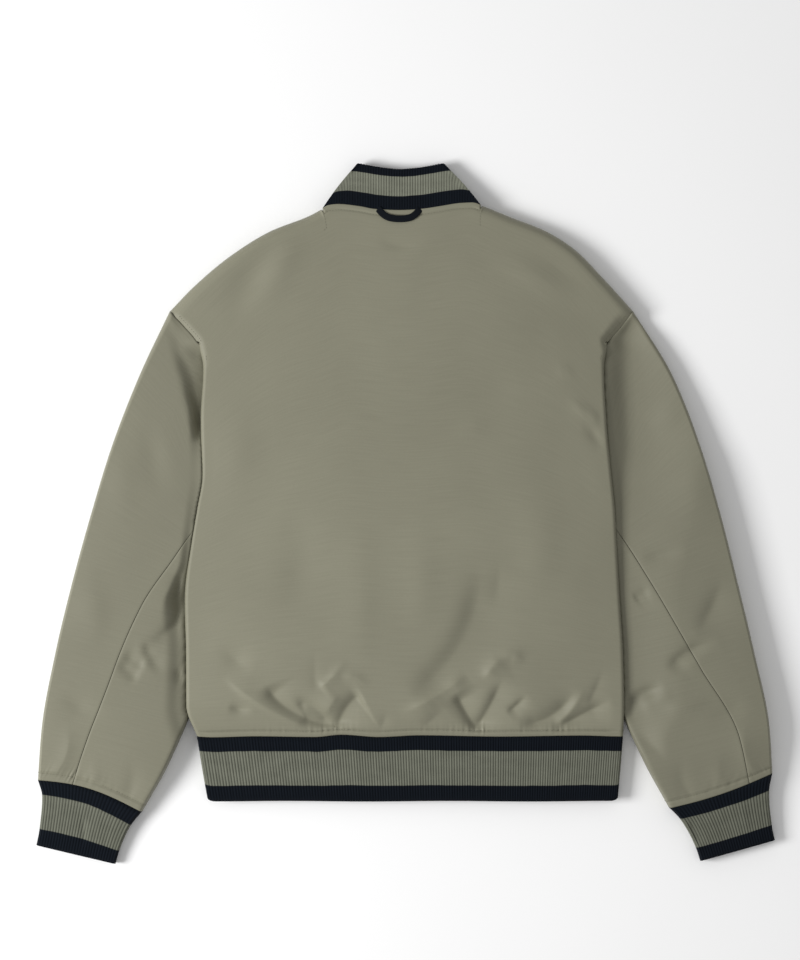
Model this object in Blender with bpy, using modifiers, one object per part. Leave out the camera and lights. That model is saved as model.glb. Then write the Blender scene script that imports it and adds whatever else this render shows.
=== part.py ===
"""A varsity jacket laid flat on its front, back uppermost, with its sleeves beside it.

Every piece is a wall of cloth: an open grid of points on the outside of the garment, given its
thickness by Solidify. The grids come from the outline of the laid garment and from short tables
of heights. Lengths here are in millimetres and are scaled to metres as each mesh is made.
X runs across the jacket, Y from hem to collar, Z up from the surface that it lies on.
"""

import bpy
import numpy as np

MM = 0.001

SHELL_WALL = 2.4        # satin twill with its lining
RIB_WALL = 3.0          # doubled rib knit
TAPE_WALL = 1.2
SEAM_GAP = 0.3
TURNED_SEAM_GAP = 1.3   # where the walls lean towards each other at a seam, measured outside
LAYER_GAP = 0.4         # between cloth lying on cloth

HEM_SEAM_Y = -260.3
HEM_EDGE_Y = -336.1
HEM_EDGE_LEFT_X = -231.7
HEM_EDGE_RIGHT_X = 249.2
HEM_EDGE_FLATTENING = 0.8
HEM_FLAT_Z = 5.0

SIDE_ROLL = 11.0        # how far in from the side the cloth starts to turn down
SIDE_LAP = 22.0         # side seam and armhole seam lie this far in, underneath
SIDE_UNDER = 12.6       # height of the body's underside where it lies on a sleeve
SHELF_WIDTH = 34.0      # width over which the body lies on a sleeve
SHELF_RUNOUT = 95.0     # where the raised underside is down on the surface again
ROLL_LOW_Y = 160.0      # below this the back rolls right over the armhole seam
ROLL_HIGH_Y = 200.0     # above this the armhole seam lies open
ROLL_DIP = 5.0
ROUND_SHARE = 0.65      # share of a rolled strip that is on the round

SHOULDER_ROLL = 13.0
SHOULDER_LAP = 16.0
SHOULDER_MIDDLE = 11.0

NECK_LEFT_X = -92.0
NECK_RIGHT_X = 88.0
NECK_TURN = 5.0         # half the width over which the neck edge turns over the shoulder fold
FRONT_NECK_Y = 268.0

FRONT_OVERLAP = 18.0    # each front passes the centre by this much
FRONT_LIFT = 1.3        # the closure lies on its press stud caps
FRONT_LAP_RISE = 3.5    # the inner front lies this much above the outer one
CLOSURE_HALF = 26.0
LAP_HALF = 30.0
LAP_RUNOUT = 20.0
CLOSURE_RUNOUT = 30.0   # width over which the fronts settle on the surface beside the closure

SLEEVE_ROLL = 13.0
SLEEVE_INNER_ROLL = 7.0
SLEEVE_MIDDLE = 11.0
SLEEVE_INNER_MIDDLE = 6.0
SLEEVE_FALL = 0.12      # how much lower a sleeve lies beside its edges than along its middle
SEPARATION_Y = -252.0   # below this the sleeves lie clear of the body
SEPARATED_Y = -288.0
UNDERARM_TOP_Y = 62.0
OPEN_SEAM_SHARE = 0.77  # share of the armhole seam where it comes out from under the back
ARMHOLE_REACH = 0.4     # share of the sleeve's length over which rows straighten from the armhole

STUD_COUNT = 6
STUD_TOP_Y = 250.0
STUD_BOTTOM_Y = -298.0
STUD_CAP_RADIUS = 7.5
STUD_CAP_HEIGHT = 1.0
STUD_BACK_RADIUS = 5.5
STUD_BACK_HEIGHT = 1.2
STUD_SIDES = 16

COLLAR_LEFT_X = -55.5
COLLAR_RIGHT_X = 45.0
COLLAR_CORNER_Y = 409.7
COLLAR_DIP_Y = 402.6
COLLAR_FOLD_Y = 401.0
COLLAR_FRONT_Y = 313.0
COLLAR_FRONT_REACH = 56.0
COLLAR_END_GAP = 1.5
COLLAR_BULGE = 1.5
COLLAR_EDGE_Z = 15.0
COLLAR_TURN_GAP = 3.3   # more room where the neck edge turns over the shoulder fold
COLLAR_TURN_IN = 3.0
COLLAR_TURN_SHARE = 0.2

LOOP_X = -5.0
LOOP_TOP_Y = 354.4
LOOP_HALF_SPAN = 22.5
LOOP_DROP = 9.3
LOOP_TAPE = 8.5
LOOP_STEPS = 12

# How finely the cloth is divided.
SHOULDER_COLUMNS = 5
NECK_COLUMNS = 7
FRONT_NECK_COLUMNS = 6
STRIP = 4
BACK_ROWS = 18
FRONT_ROWS = 15
SLEEVE_ROWS = 14
SLEEVE_COLUMNS_FLAT = 3
SLEEVE_COLUMNS_TURN = 3
CUFF_COLUMNS_FLAT = 4
SLEEVE_LENGTH = 480.0
RIB_ROWS = np.array([0.0, 0.25, 0.75, 1.0])   # at the edges of a rib's stripes

COLLECTION = "varsity_jacket"


def table(columns, rows):
    """The named columns of a short table, in millimetres."""
    return dict(zip(columns.split(), np.array(rows, float).T))


# The laid body's outline: where its two sides lie at each height.
SIDES = table("y left right", (
    (-260.3, -243.6, 255.0),
    (-224.0, -255.5, 255.4),
    (-160.0, -255.8, 254.0),
    (-101.0, -257.0, 250.4),
    (-31.0, -249.2, 246.5),
    (4.0, -243.4, 244.6),
    (45.0, -237.0, 240.5),
    (110.0, -238.4, 234.6),
    (168.0, -235.5, 232.0),
    (198.0, -242.0, 236.8),
    (218.0, -257.5, 252.4),
    (236.0, -275.0, 266.5),
))

# The top of the laid body: shoulder, back neck seam, shoulder.
TOP = table("x y", (
    (-275.0, 236.0),
    (-248.0, 264.0),
    (-204.0, 301.0),
    (-157.0, 330.0),
    (-113.0, 348.0),
    (-95.0, 357.5),
    (-84.0, 361.0),
    (-45.0, 357.0),
    (-6.0, 355.2),
    (40.0, 358.5),
    (80.0, 363.3),
    (92.0, 360.0),
    (122.0, 348.0),
    (165.0, 329.4),
    (196.0, 310.0),
    (233.0, 273.0),
    (266.5, 236.0),
))

# How high the back lies, along its middle and beside its edges.
HEIGHTS = table("y middle edge", (
    (-260.3, 19.5, 18.5),
    (-245.0, 26.0, 23.0),
    (-215.0, 33.0, 27.0),
    (-60.0, 36.0, 28.0),
    (110.0, 34.0, 28.0),
    (200.0, 31.0, 26.0),
    (236.0, 29.0, 23.0),
    (300.0, 26.0, 22.5),
    (364.0, 22.0, 22.0),
))

# Half of the front neck seam, from the centre front (share 0) to the neck point (share 1).
FRONT_NECK = table("share across drop", (
    (0.00, 0.00, 1.00),
    (0.25, 0.40, 0.90),
    (0.50, 0.72, 0.66),
    (0.75, 0.92, 0.34),
    (1.00, 1.00, 0.00),
))

# How far in from the body's side the armhole seam lies on the front, by height up the jacket.
FRONT_ARMHOLE = table("y inward", (
    (20.0, 22.0),
    (60.0, 28.0),
    (110.0, 25.0),
    (160.0, 14.0),
    (200.0, 4.0),
    (220.0, 0.0),
    (236.0, 0.0),
))

# Height up the jacket of the armhole seam, from the underarm (share 0) to the shoulder point.
ARMHOLE = table("share y", (
    (0.00, 20.0),
    (0.45, 112.0),
    (0.84, 195.0),
    (1.00, 236.0),
))

# Each sleeve, laid: a row for each section from the armhole to the cuff seam. The last two columns
# say where its two lengthwise seams lie, as shares of the way from its inner to its outer edge.
SLEEVE_COLUMNS = "share outer_x outer_y inner_x inner_y height back_seam front_seam"
SLEEVE_LEFT = table(SLEEVE_COLUMNS, (
    (0.00, -275.0, 236.0, -219.0, 20.0, 23.0, 0.08, 0.10),
    (0.15, -310.0, 162.0, -219.5, -2.0, 27.0, 0.10, 0.14),
    (0.30, -342.0, 80.0, -221.0, -30.0, 30.0, 0.17, 0.20),
    (0.45, -367.5, -3.0, -225.0, -70.0, 31.0, 0.30, 0.27),
    (0.60, -390.0, -85.0, -231.0, -130.0, 31.0, 0.48, 0.33),
    (0.75, -409.0, -165.0, -241.5, -203.0, 31.0, 0.58, 0.38),
    (0.90, -424.5, -250.0, -275.5, -291.0, 29.0, 0.63, 0.41),
    (1.00, -429.4, -311.8, -307.7, -349.2, 20.0, 0.66, 0.42),
))
SLEEVE_RIGHT = table(SLEEVE_COLUMNS, (
    (0.00, 266.5, 236.0, 221.0, 20.0, 23.0, 0.08, 0.10),
    (0.15, 312.0, 162.0, 220.5, -2.0, 27.0, 0.10, 0.14),
    (0.30, 344.5, 80.0, 221.0, -30.0, 30.0, 0.17, 0.20),
    (0.45, 369.0, -3.0, 224.0, -70.0, 31.0, 0.30, 0.27),
    (0.60, 389.5, -85.0, 230.0, -130.0, 31.0, 0.46, 0.33),
    (0.75, 408.5, -165.0, 242.5, -203.0, 31.0, 0.61, 0.38),
    (0.90, 425.5, -248.0, 278.5, -289.0, 29.0, 0.75, 0.41),
    (1.00, 429.4, -303.6, 308.9, -344.6, 20.0, 0.77, 0.42),
))

# Each cuff from its seam to its edge.
CUFF_LEFT = table("share outer_x outer_y inner_x inner_y height", (
    (0.00, -429.4, -311.8, -307.7, -349.2, 20.0),
    (0.25, -424.7, -330.5, -321.0, -366.0, 18.0),
    (0.78, -428.2, -370.3, -334.6, -396.0, 15.0),
    (1.00, -431.7, -387.9, -338.7, -410.0, 13.5),
))
CUFF_RIGHT = table("share outer_x outer_y inner_x inner_y height", (
    (0.00, 429.4, -303.6, 308.9, -344.6, 20.0),
    (0.25, 425.9, -325.8, 322.0, -358.5, 18.0),
    (0.78, 429.4, -365.6, 340.5, -392.5, 15.0),
    (1.00, 432.9, -382.0, 345.2, -406.6, 13.5),
))

# Each sleeve dips beside the body: where its rise starts and ends, by height up the jacket.
VALLEY = table("y start end", (
    (-260.0, 14.0, 34.0),
    (-225.0, 6.0, 24.0),
    (-190.0, 1.0, 17.0),
    (80.0, 1.0, 17.0),
    (150.0, 1.0, 27.0),
    (190.0, 1.0, 45.0),
    (236.0, 1.0, 50.0),
))


def smooth(x, xs, ys):
    """A curve through the rows of a table that never overshoots between them."""
    x = np.clip(x, xs[0], xs[-1])
    step = np.diff(xs)
    slope = np.diff(ys) / step
    tangent = np.zeros(len(xs))
    tangent[0], tangent[-1] = slope[0], slope[-1]
    before, after = slope[:-1], slope[1:]
    turning = before * after > 0
    weight_a = 2 * step[1:] + step[:-1]
    weight_b = step[1:] + 2 * step[:-1]
    safe_before = np.where(turning, before, 1.0)
    safe_after = np.where(turning, after, 1.0)
    mean = (weight_a + weight_b) / (weight_a / safe_before + weight_b / safe_after)
    tangent[1:-1] = np.where(turning, mean, 0.0)
    i = np.clip(np.searchsorted(xs, x, side="right") - 1, 0, len(step) - 1)
    t = (x - xs[i]) / step[i]
    return (
        (2 * t**3 - 3 * t**2 + 1) * ys[i]
        + (t**3 - 2 * t**2 + t) * step[i] * tangent[i]
        + (3 * t**2 - 2 * t**3) * ys[i + 1]
        + (t**3 - t**2) * step[i] * tangent[i + 1]
    )


def ease(x, low, high):
    """0 below low, 1 above high, and a soft step between."""
    t = np.clip((x - low) / (high - low), 0, 1)
    return t * t * (3 - 2 * t)


def quarter(distance, radius):
    """The height of a quarter round, 0 at its edge and 1 at its radius."""
    return np.sqrt(1 - (1 - np.clip(distance / radius, 0, 1)) ** 2)


def blend(a, b, share):
    return a + (b - a) * share


def side_x(y, side):
    """Where the laid body's side lies at height y: side is -1 on the left and 1 on the right."""
    return smooth(y, SIDES["y"], SIDES["left" if side < 0 else "right"])


def body_plan(across, up):
    """A place on the laid body, across from its left side (0) and up from its hem (0) to its top."""
    side_y = blend(HEM_SEAM_Y, SIDES["y"][-1], up)
    top_y = smooth(blend(SIDES["left"][-1], SIDES["right"][-1], across), TOP["x"], TOP["y"])
    return blend(side_x(side_y, -1), side_x(side_y, 1), across), blend(HEM_SEAM_Y, top_y, up)


def body_height(across, y):
    """How high the back's outside lies, before it turns down at the sides and shoulders."""
    edge = smooth(y, HEIGHTS["y"], HEIGHTS["edge"])
    middle = smooth(y, HEIGHTS["y"], HEIGHTS["middle"])
    return edge + (middle - edge) * (1 - np.abs(2 * np.clip(across, 0, 1) - 1) ** 2.5)


def side_under(y):
    """Height of the body's underside along its sides: it lies on the sleeves, and not on the hem."""
    return SIDE_UNDER * ease(y, HEM_SEAM_Y, -234.0)


def rolled_strip(t, top, middle, under, roll, lap, share):
    """Distance in from the fold and height, along cloth that rolls over an edge and runs back under.

    t runs from the upper side (0) to the seam underneath (1). With share 0 the strip lies flat
    and ends at the edge, and with share 1 it is rolled right over.
    """
    turn = np.pi * np.clip(t / ROUND_SHARE, 0, 1)
    straight = np.clip((t - ROUND_SHARE) / (1 - ROUND_SHARE), 0, 1)
    distance = roll * (1 - np.sin(turn)) + (lap - roll) * straight
    over = middle + (top - middle) * np.cos(turn)
    beneath = middle + (middle - under) * np.cos(turn)
    height = np.where(turn < np.pi / 2, over, beneath)
    dip = ROLL_DIP * 4 * share * (1 - share) * straight
    return blend(roll * (1 - t), distance, share), blend(top, height, share) - dip


def side_strip(t, y, top):
    """The back's cloth where it rolls over the side."""
    share = 1 - ease(y, ROLL_LOW_Y, ROLL_HIGH_Y)
    under = side_under(y)
    return rolled_strip(t, top, blend(under, top, 0.5), under, SIDE_ROLL, SIDE_LAP, share)


def neck_share(x):
    """1 where the neck seam ends the back on its upper side, 0 where the shoulder rolls over."""
    left = ease(x, NECK_LEFT_X - NECK_TURN, NECK_LEFT_X + NECK_TURN)
    return left - ease(x, NECK_RIGHT_X - NECK_TURN, NECK_RIGHT_X + NECK_TURN)


def close_at_ends(count):
    """Shares from 0 to 1 that lie closer together towards both ends."""
    even = np.linspace(0, 1, count)
    return even - 0.1 * np.sin(2 * np.pi * even)


def back_columns(shoulder, neck):
    """Where the back's columns stand along its top edge, close together where the neck edge turns."""
    left, right = NECK_LEFT_X, NECK_RIGHT_X
    places = np.concatenate([
        np.linspace(SIDES["left"][-1], left - NECK_TURN, shoulder),
        [left - NECK_TURN / 2, left, left + NECK_TURN / 2],
        np.linspace(left + NECK_TURN, right - NECK_TURN, neck),
        [right - NECK_TURN / 2, right, right + NECK_TURN / 2],
        np.linspace(right + NECK_TURN, SIDES["right"][-1], shoulder),
    ])
    return (places - places[0]) / (places[-1] - places[0])


def back_grid(spread, rise, strip):
    """The back's outside: columns between two rolled sides, and rows up to the rolled shoulders."""
    turned = np.arange(1, strip + 1) / strip
    side_t = np.concatenate([-turned[::-1], np.zeros(len(spread)), turned])
    spread = np.concatenate([np.zeros(strip), spread, np.ones(strip)])
    top_t = np.concatenate([np.zeros(len(rise)), turned])[:, None]
    rise = np.concatenate([rise, np.ones(strip)])[:, None]

    top_x = blend(SIDES["left"][-1], SIDES["right"][-1], spread)
    reach = smooth(top_x, TOP["x"], TOP["y"]) - HEM_SEAM_Y
    turned_over = 1 - neck_share(top_x)
    over, _ = rolled_strip(top_t, 0, 0, 0, SHOULDER_ROLL, SHOULDER_LAP, turned_over)
    up = np.where(top_t > 0, 1 - over / reach, rise * (1 - SHOULDER_ROLL / reach))
    side_y = blend(HEM_SEAM_Y, SIDES["y"][-1], up)
    width = side_x(side_y, 1) - side_x(side_y, -1)
    inward, _ = side_strip(np.abs(side_t), side_y, body_height(0, side_y))
    across = blend(SIDE_ROLL / width, 1 - SIDE_ROLL / width, spread)
    across = np.where(side_t < 0, inward / width, np.where(side_t > 0, 1 - inward / width, across))
    x, y = body_plan(across, up)
    height = body_height(across, y)
    top = np.where(side_t == 0, height, side_strip(np.abs(side_t), side_y, height)[1])
    middle = np.minimum(SHOULDER_MIDDLE, top)
    _, over_z = rolled_strip(top_t, top, middle, 0, SHOULDER_ROLL, SHOULDER_LAP, turned_over)
    return np.stack([x, y, np.where(top_t > 0, over_z, top)], axis=-1)


def front_height(x, y, side):
    """How high a front's outside lies off the surface: by a sleeve under it, or at the closure."""
    inward = np.abs(x - side_x(y, side))
    below_arm = 1 - ease(y, ARMHOLE["y"][0], UNDERARM_TOP_Y)
    on_sleeve = side_under(y) * below_arm * (1 - ease(inward, SHELF_WIDTH, SHELF_RUNOUT))
    closure = FRONT_LIFT * (1 - ease(np.abs(x), CLOSURE_HALF, CLOSURE_HALF + CLOSURE_RUNOUT))
    lapped = FRONT_LAP_RISE * (1 - ease(x, LAP_HALF, LAP_HALF + LAP_RUNOUT)) * (side > 0)
    return on_sleeve + closure + lapped


def front_side(y, side):
    """The side seam and, above the underarm, the armhole seam of a front."""
    inward = np.where(
        y < ARMHOLE["y"][0], SIDE_LAP, smooth(y, FRONT_ARMHOLE["y"], FRONT_ARMHOLE["inward"])
    )
    return side_x(y, side) - side * (inward + TURNED_SEAM_GAP)


def front_top(side, back, neck):
    """A front's top edge: along the back's shoulder edge to the neck point, then the neck seam."""
    top_edge = back[-1] if side < 0 else back[-1, ::-1]
    shoulder = np.delete(top_edge[:STRIP + SHOULDER_COLUMNS], np.arange(1, STRIP), axis=0)
    share = np.linspace(1, 0, neck)[1:]
    neck_across = smooth(share, FRONT_NECK["share"], FRONT_NECK["across"])
    neck_drop = smooth(share, FRONT_NECK["share"], FRONT_NECK["drop"])
    x = np.concatenate([shoulder[:, 0], shoulder[-1, 0] * neck_across, [-side * FRONT_OVERLAP]])
    shoulder_y = shoulder[:, 1] - TURNED_SEAM_GAP / 2
    y = np.concatenate([shoulder_y, blend(shoulder_y[-1], FRONT_NECK_Y, neck_drop), [FRONT_NECK_Y]])
    return x, y


def front_grid(side, back, neck, rise):
    """One front's outside, from its side and armhole seam to its edge past the centre."""
    top_x, top_y = front_top(side, back, neck)
    rise = rise[:, None]
    along = (top_x - top_x[0]) / (top_x[-1] - top_x[0])
    side_y = blend(HEM_SEAM_Y, top_y[0], rise)
    edge_x = front_side(side_y, side)
    edge_x = edge_x + (top_x[0] - front_side(top_y[0], side)) * rise**8
    hem_x = blend(edge_x[0], top_x[-1], along)
    shaped = edge_x - blend(edge_x[0], top_x[0], rise)
    x = blend(hem_x, top_x, rise) + shaped * (1 - along) ** 3
    y = blend(HEM_SEAM_Y, top_y, rise)
    return np.stack([x, y, front_height(x, y, side)], axis=-1)


def sleeve_point(rows, side, share, across, upper):
    """A point on a laid sleeve or cuff.

    share runs along it from its first section, across from its inner edge (0) to its outer edge,
    and upper is true on the side that lies uppermost.
    """
    outer_x = smooth(share, rows["share"], rows["outer_x"])
    outer_y = smooth(share, rows["share"], rows["outer_y"])
    inner_x = smooth(share, rows["share"], rows["inner_x"])
    inner_y = smooth(share, rows["share"], rows["inner_y"])
    x = blend(inner_x, outer_x, across)
    y = blend(inner_y, outer_y, across)
    if "back_seam" in rows:
        near = (1 - np.clip(share / ARMHOLE_REACH, 0, 1)) ** 2
        hole_y = smooth(across, ARMHOLE["share"], ARMHOLE["y"])
        back_in, _ = side_strip(1.0, hole_y, body_height(0, hole_y))
        front_in = smooth(hole_y, FRONT_ARMHOLE["y"], FRONT_ARMHOLE["inward"])
        hole_x = side_x(hole_y, side) - side * np.where(upper, back_in, front_in)
        chord_x = blend(rows["inner_x"][0], rows["outer_x"][0], across)
        chord_y = blend(rows["inner_y"][0], rows["outer_y"][0], across)
        x = x + near * (hole_x + side * TURNED_SEAM_GAP - chord_x)
        y = y + near * (hole_y - chord_y)

    width = np.hypot(outer_x - inner_x, outer_y - inner_y)
    full = quarter(across * width, SLEEVE_INNER_ROLL) * quarter((1 - across) * width, SLEEVE_ROLL)
    height = smooth(share, rows["share"], rows["height"])
    outer_middle = np.minimum(SLEEVE_MIDDLE, height / 2)
    inner_middle = np.minimum(SLEEVE_INNER_MIDDLE, height / 2)
    edge = blend(inner_middle, outer_middle, across)
    crown = height * (1 - SLEEVE_FALL * np.abs(2 * across - 1) ** 3)
    beside = side * (x - side_x(y, side))
    rolled = 1 - ease(y, ROLL_LOW_Y, ROLL_HIGH_Y)
    _, seam_z = side_strip(1.0, y, body_height(0, y))
    gap = LAYER_GAP * rolled + ROLL_DIP * 3 * rolled * (1 - rolled)
    shelf = np.maximum(seam_z, SIDE_UNDER) - gap
    start, end = (smooth(y, VALLEY["y"], VALLEY[name]) for name in ("start", "end"))
    clear = ease(beside, start, end)
    clear = np.maximum(clear, 1 - ease(y, SEPARATED_Y, SEPARATION_Y))
    top = np.minimum(crown, shelf + (np.maximum(crown, shelf) - shelf) * clear)
    z = np.where(upper, edge + (top - edge) * full, edge * (1 - full))
    return np.stack([x, y, z], axis=-1)


def sleeve_grid(rows, side, outer_piece, shares, flat, turn):
    """One half of a two-piece sleeve, from its back seam round an edge to its front seam.

    A column follows the body's side, where the sleeve comes out from under it.
    """
    shares = shares[:, None]
    column = {name: smooth(shares, rows["share"], rows[name]) for name in rows}
    reach_x = column["outer_x"] - column["inner_x"]
    reach_y = column["outer_y"] - column["inner_y"]
    width = np.hypot(reach_x, reach_y)
    body_side = np.clip((side_x(column["inner_y"], side) - column["inner_x"]) / reach_x, 0, 1)
    body_side = (side_x(column["inner_y"] + body_side * reach_y, side) - column["inner_x"]) / reach_x
    near = np.clip(1 - shares / ARMHOLE_REACH, 0, 1) ** 2
    body_side = blend(body_side, OPEN_SEAM_SHARE, near)
    gap = TURNED_SEAM_GAP * 0.7 / width
    roll = SLEEVE_ROLL if outer_piece else SLEEVE_INNER_ROLL
    angle = np.linspace(0, np.pi, 2 * turn + 1)
    rolled = roll * (1 - np.sin(angle)) / width
    even = np.linspace(0, 1, flat + 1)
    if outer_piece:
        rolled = 1 - rolled
        start, end = column["back_seam"] + gap, column["front_seam"] + gap
        middle = np.clip(body_side, start + 2 * gap, None)
        middle_front = np.clip(body_side, end + 2 * gap, None)
        before = [blend(start, middle, even[:-1]), blend(middle, rolled[:, :1], even[:-1])]
        before = np.concatenate(before, axis=1)
        after = [blend(rolled[:, -1:], middle_front, even[1:]), blend(middle_front, end, even[1:])]
        after = np.concatenate(after, axis=1)
    else:
        start, end = column["back_seam"] - gap, column["front_seam"] - gap
        middle = np.clip(body_side, rolled[:, :1] + 2 * gap, start - 2 * gap)
        before = np.concatenate([blend(start, middle, even[:-1]), middle], axis=1)
        after = blend(rolled[:, -1:], end, even[1:])
    across = np.concatenate([before, rolled, after], axis=1)
    upper = np.arange(across.shape[1]) <= before.shape[1] + turn
    return sleeve_point(rows, side, shares + 0 * across, across, upper)


def cuff_grid(rows, side, shares, flat, turn):
    """A cuff's outside, all the way round from its inner edge."""
    shares = shares[:, None]
    ends = [rows["outer_x"] - rows["inner_x"], rows["outer_y"] - rows["inner_y"]]
    width = smooth(shares, rows["share"], np.hypot(*ends))
    angle = np.linspace(0, np.pi / 2, turn + 1)
    inner = SLEEVE_INNER_ROLL * (1 - np.cos(angle)) / width
    outer = 1 - SLEEVE_ROLL * (1 - np.cos(angle[::-1])) / width
    middle = blend(inner[:, -1:], outer[:, :1], np.linspace(0, 1, flat + 1)[1:-1])
    over = np.concatenate([inner, middle, outer], axis=1)
    across = np.concatenate([over, over[:, -2:0:-1]], axis=1)
    upper = np.arange(across.shape[1]) < over.shape[1]
    return sleeve_point(rows, side, shares + 0 * across, across, upper)


def hem_grid(left, back, right, shares):
    """The hem rib's outside, from the panels' lower edges down to its own edge."""
    rail = np.concatenate([left[0, ::-1], back[0, 1:-1], right[0]])
    rail_x, rail_z = rail[:, 0], rail[:, 2]
    shares = shares[:, None]
    along = (rail_x - SIDES["left"][0]) / (SIDES["right"][0] - SIDES["left"][0])
    x = blend(rail_x, blend(HEM_EDGE_LEFT_X, HEM_EDGE_RIGHT_X, along), shares)
    near_centre = 1 - ease(np.abs(rail_x), CLOSURE_HALF, CLOSURE_HALF + CLOSURE_RUNOUT)
    x = blend(x, rail_x, np.where(rail_z < HEM_FLAT_Z, near_centre, 0))
    thinner = HEM_FLAT_Z + (rail_z - HEM_FLAT_Z) * HEM_EDGE_FLATTENING
    z = np.where(rail_z > HEM_FLAT_Z, blend(rail_z, thinner, shares), rail_z)
    y = blend(HEM_SEAM_Y - TURNED_SEAM_GAP, HEM_EDGE_Y, shares) + 0 * x
    return np.stack([x, y, z + 0 * x], axis=-1)


def collar_edge(seam, count):
    """Where the collar's top edge lies above each point of its neck seam: count points a front."""
    x, z = seam[:, 0], seam[:, 2]
    front = np.linspace(0, np.pi / 2, count)
    front_x = COLLAR_END_GAP + (COLLAR_FRONT_REACH - COLLAR_END_GAP) * np.sin(front)
    front_y = blend(COLLAR_FRONT_Y, COLLAR_FOLD_Y, 1 - np.cos(front))
    over = slice(count, len(seam) - count)
    across = (x[over] - x[over][0]) / (x[over][-1] - x[over][0])
    raised = z[over] / z[over].max()
    bulge = COLLAR_BULGE * np.sin(np.pi * np.clip(raised, 0, 1)) * np.sign(across - 0.5)
    over_x = blend(COLLAR_LEFT_X, COLLAR_RIGHT_X, across) + bulge
    over_y = COLLAR_DIP_Y + (COLLAR_CORNER_Y - COLLAR_DIP_Y) * np.abs(2 * across - 1) ** 1.6
    over_y = blend(COLLAR_FOLD_Y, over_y, quarter(raised, 1.0))
    edge_x = np.concatenate([COLLAR_LEFT_X / COLLAR_FRONT_REACH * front_x, over_x,
                             COLLAR_RIGHT_X / COLLAR_FRONT_REACH * front_x[::-1]])
    edge_y = np.concatenate([front_y, over_y, front_y[::-1]])
    edge_z = np.concatenate([0 * front_x, COLLAR_EDGE_Z * raised, 0 * front_x])
    return np.stack([edge_x, edge_y, edge_z], axis=-1)


def collar_grid(left, back, right, shoulder, shares):
    """The collar's outside: up from the neck seam of the fronts and the back to its top edge."""
    from_left = left[-1, shoulder:-1][::-1]
    from_right = right[-1, shoulder:-1]
    columns = back_columns(SHOULDER_COLUMNS, NECK_COLUMNS)
    top_x = blend(SIDES["left"][-1], SIDES["right"][-1], columns)
    top_x = np.concatenate([[top_x[0]] * STRIP, top_x, [top_x[-1]] * STRIP])
    on_neck = (top_x > NECK_LEFT_X - NECK_TURN * 1.1) & (top_x < NECK_RIGHT_X + NECK_TURN * 1.1)
    seam = np.concatenate([from_left, back[-1, on_neck], from_right])
    seam[0, 0] = -COLLAR_END_GAP
    seam[-1, 0] = COLLAR_END_GAP
    edge = collar_edge(seam, len(from_left))
    raised = seam[:, 2] / seam[:, 2].max()
    turning = (seam[:, 1] >= from_left[-1, 1]) & (raised < 0.97)
    seam[:, 0] -= np.sign(seam[:, 0]) * COLLAR_TURN_IN * turning * ease(raised, 0, COLLAR_TURN_SHARE)
    gap = TURNED_SEAM_GAP * 1.7 + COLLAR_TURN_GAP * turning
    first = gap / np.linalg.norm(edge - seam, axis=-1)
    return blend(seam, edge, blend(first[None, :, None], 1, shares[:, None, None]))


def loop_grid(steps):
    """The hanger loop's outside: a flat tape in a shallow U on the back, both ends in the neck seam."""
    angle = np.linspace(0, np.pi, steps + 1)[:, None]
    reach = LOOP_TAPE * np.array([0.5, 0.0, -0.5])
    x = LOOP_X - (LOOP_HALF_SPAN + reach) * np.cos(angle)
    y = LOOP_TOP_Y - (LOOP_DROP + reach) * np.sin(angle)
    across = (x - side_x(y, -1)) / (side_x(y, 1) - side_x(y, -1))
    z = body_height(across, y) + SEAM_GAP + TAPE_WALL
    return np.stack([x, y, z], axis=-1)


def finish(name, colour, roughness, metallic=0.0):
    """A plain material for one kind of piece."""
    material = bpy.data.materials.new(name)
    material.use_nodes = True
    shader = material.node_tree.nodes["Principled BSDF"]
    shader.inputs["Base Color"].default_value = (*colour, 1.0)
    shader.inputs["Roughness"].default_value = roughness
    shader.inputs["Metallic"].default_value = metallic
    return material


def cloth(collection, name, grid, wall, material, flipped=False, round_about=False):
    """A piece of cloth: the grid is its outside, and Solidify gives it its wall on the inside."""
    rows, columns = grid.shape[:2]
    faces = []
    for i in range(rows - 1):
        for j in range(columns if round_about else columns - 1):
            k = (j + 1) % columns
            face = (i * columns + j, i * columns + k, (i + 1) * columns + k, (i + 1) * columns + j)
            faces.append(face[::-1] if flipped else face)
    mesh = bpy.data.meshes.new(name)
    mesh.from_pydata((grid.reshape(-1, 3) * MM).tolist(), [], faces)
    mesh.shade_smooth()
    mesh.materials.append(material)
    piece = bpy.data.objects.new(name, mesh)
    collection.objects.link(piece)
    solid = piece.modifiers.new("Wall", "SOLIDIFY")
    solid.thickness = wall * MM
    solid.offset = -1
    return piece


def disc(collection, name, x, y, low, height, radius, material):
    """One metal part of a press stud."""
    bpy.ops.mesh.primitive_cylinder_add(
        vertices=STUD_SIDES, radius=radius * MM, depth=height * MM,
        location=(x * MM, y * MM, (low + height / 2) * MM),
    )
    piece = bpy.context.object
    piece.name = name
    piece.data.materials.append(material)
    for holder in list(piece.users_collection):
        holder.objects.unlink(piece)
    collection.objects.link(piece)


for old in list(bpy.data.objects):
    bpy.data.objects.remove(old, do_unlink=True)

jacket = bpy.data.collections.new(COLLECTION)
bpy.context.scene.collection.children.link(jacket)

twill = finish("olive_twill", (0.235, 0.225, 0.165), 0.5)
rib = finish("striped_rib", (0.14, 0.145, 0.11), 0.85)
tape = finish("navy_tape", (0.008, 0.011, 0.017), 0.7)
metal = finish("stud_metal", (0.30, 0.29, 0.26), 0.35, 1.0)

columns = back_columns(SHOULDER_COLUMNS, NECK_COLUMNS)
back = back_grid(columns, close_at_ends(BACK_ROWS), STRIP)
cloth(jacket, "back", back, SHELL_WALL, twill)

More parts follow.
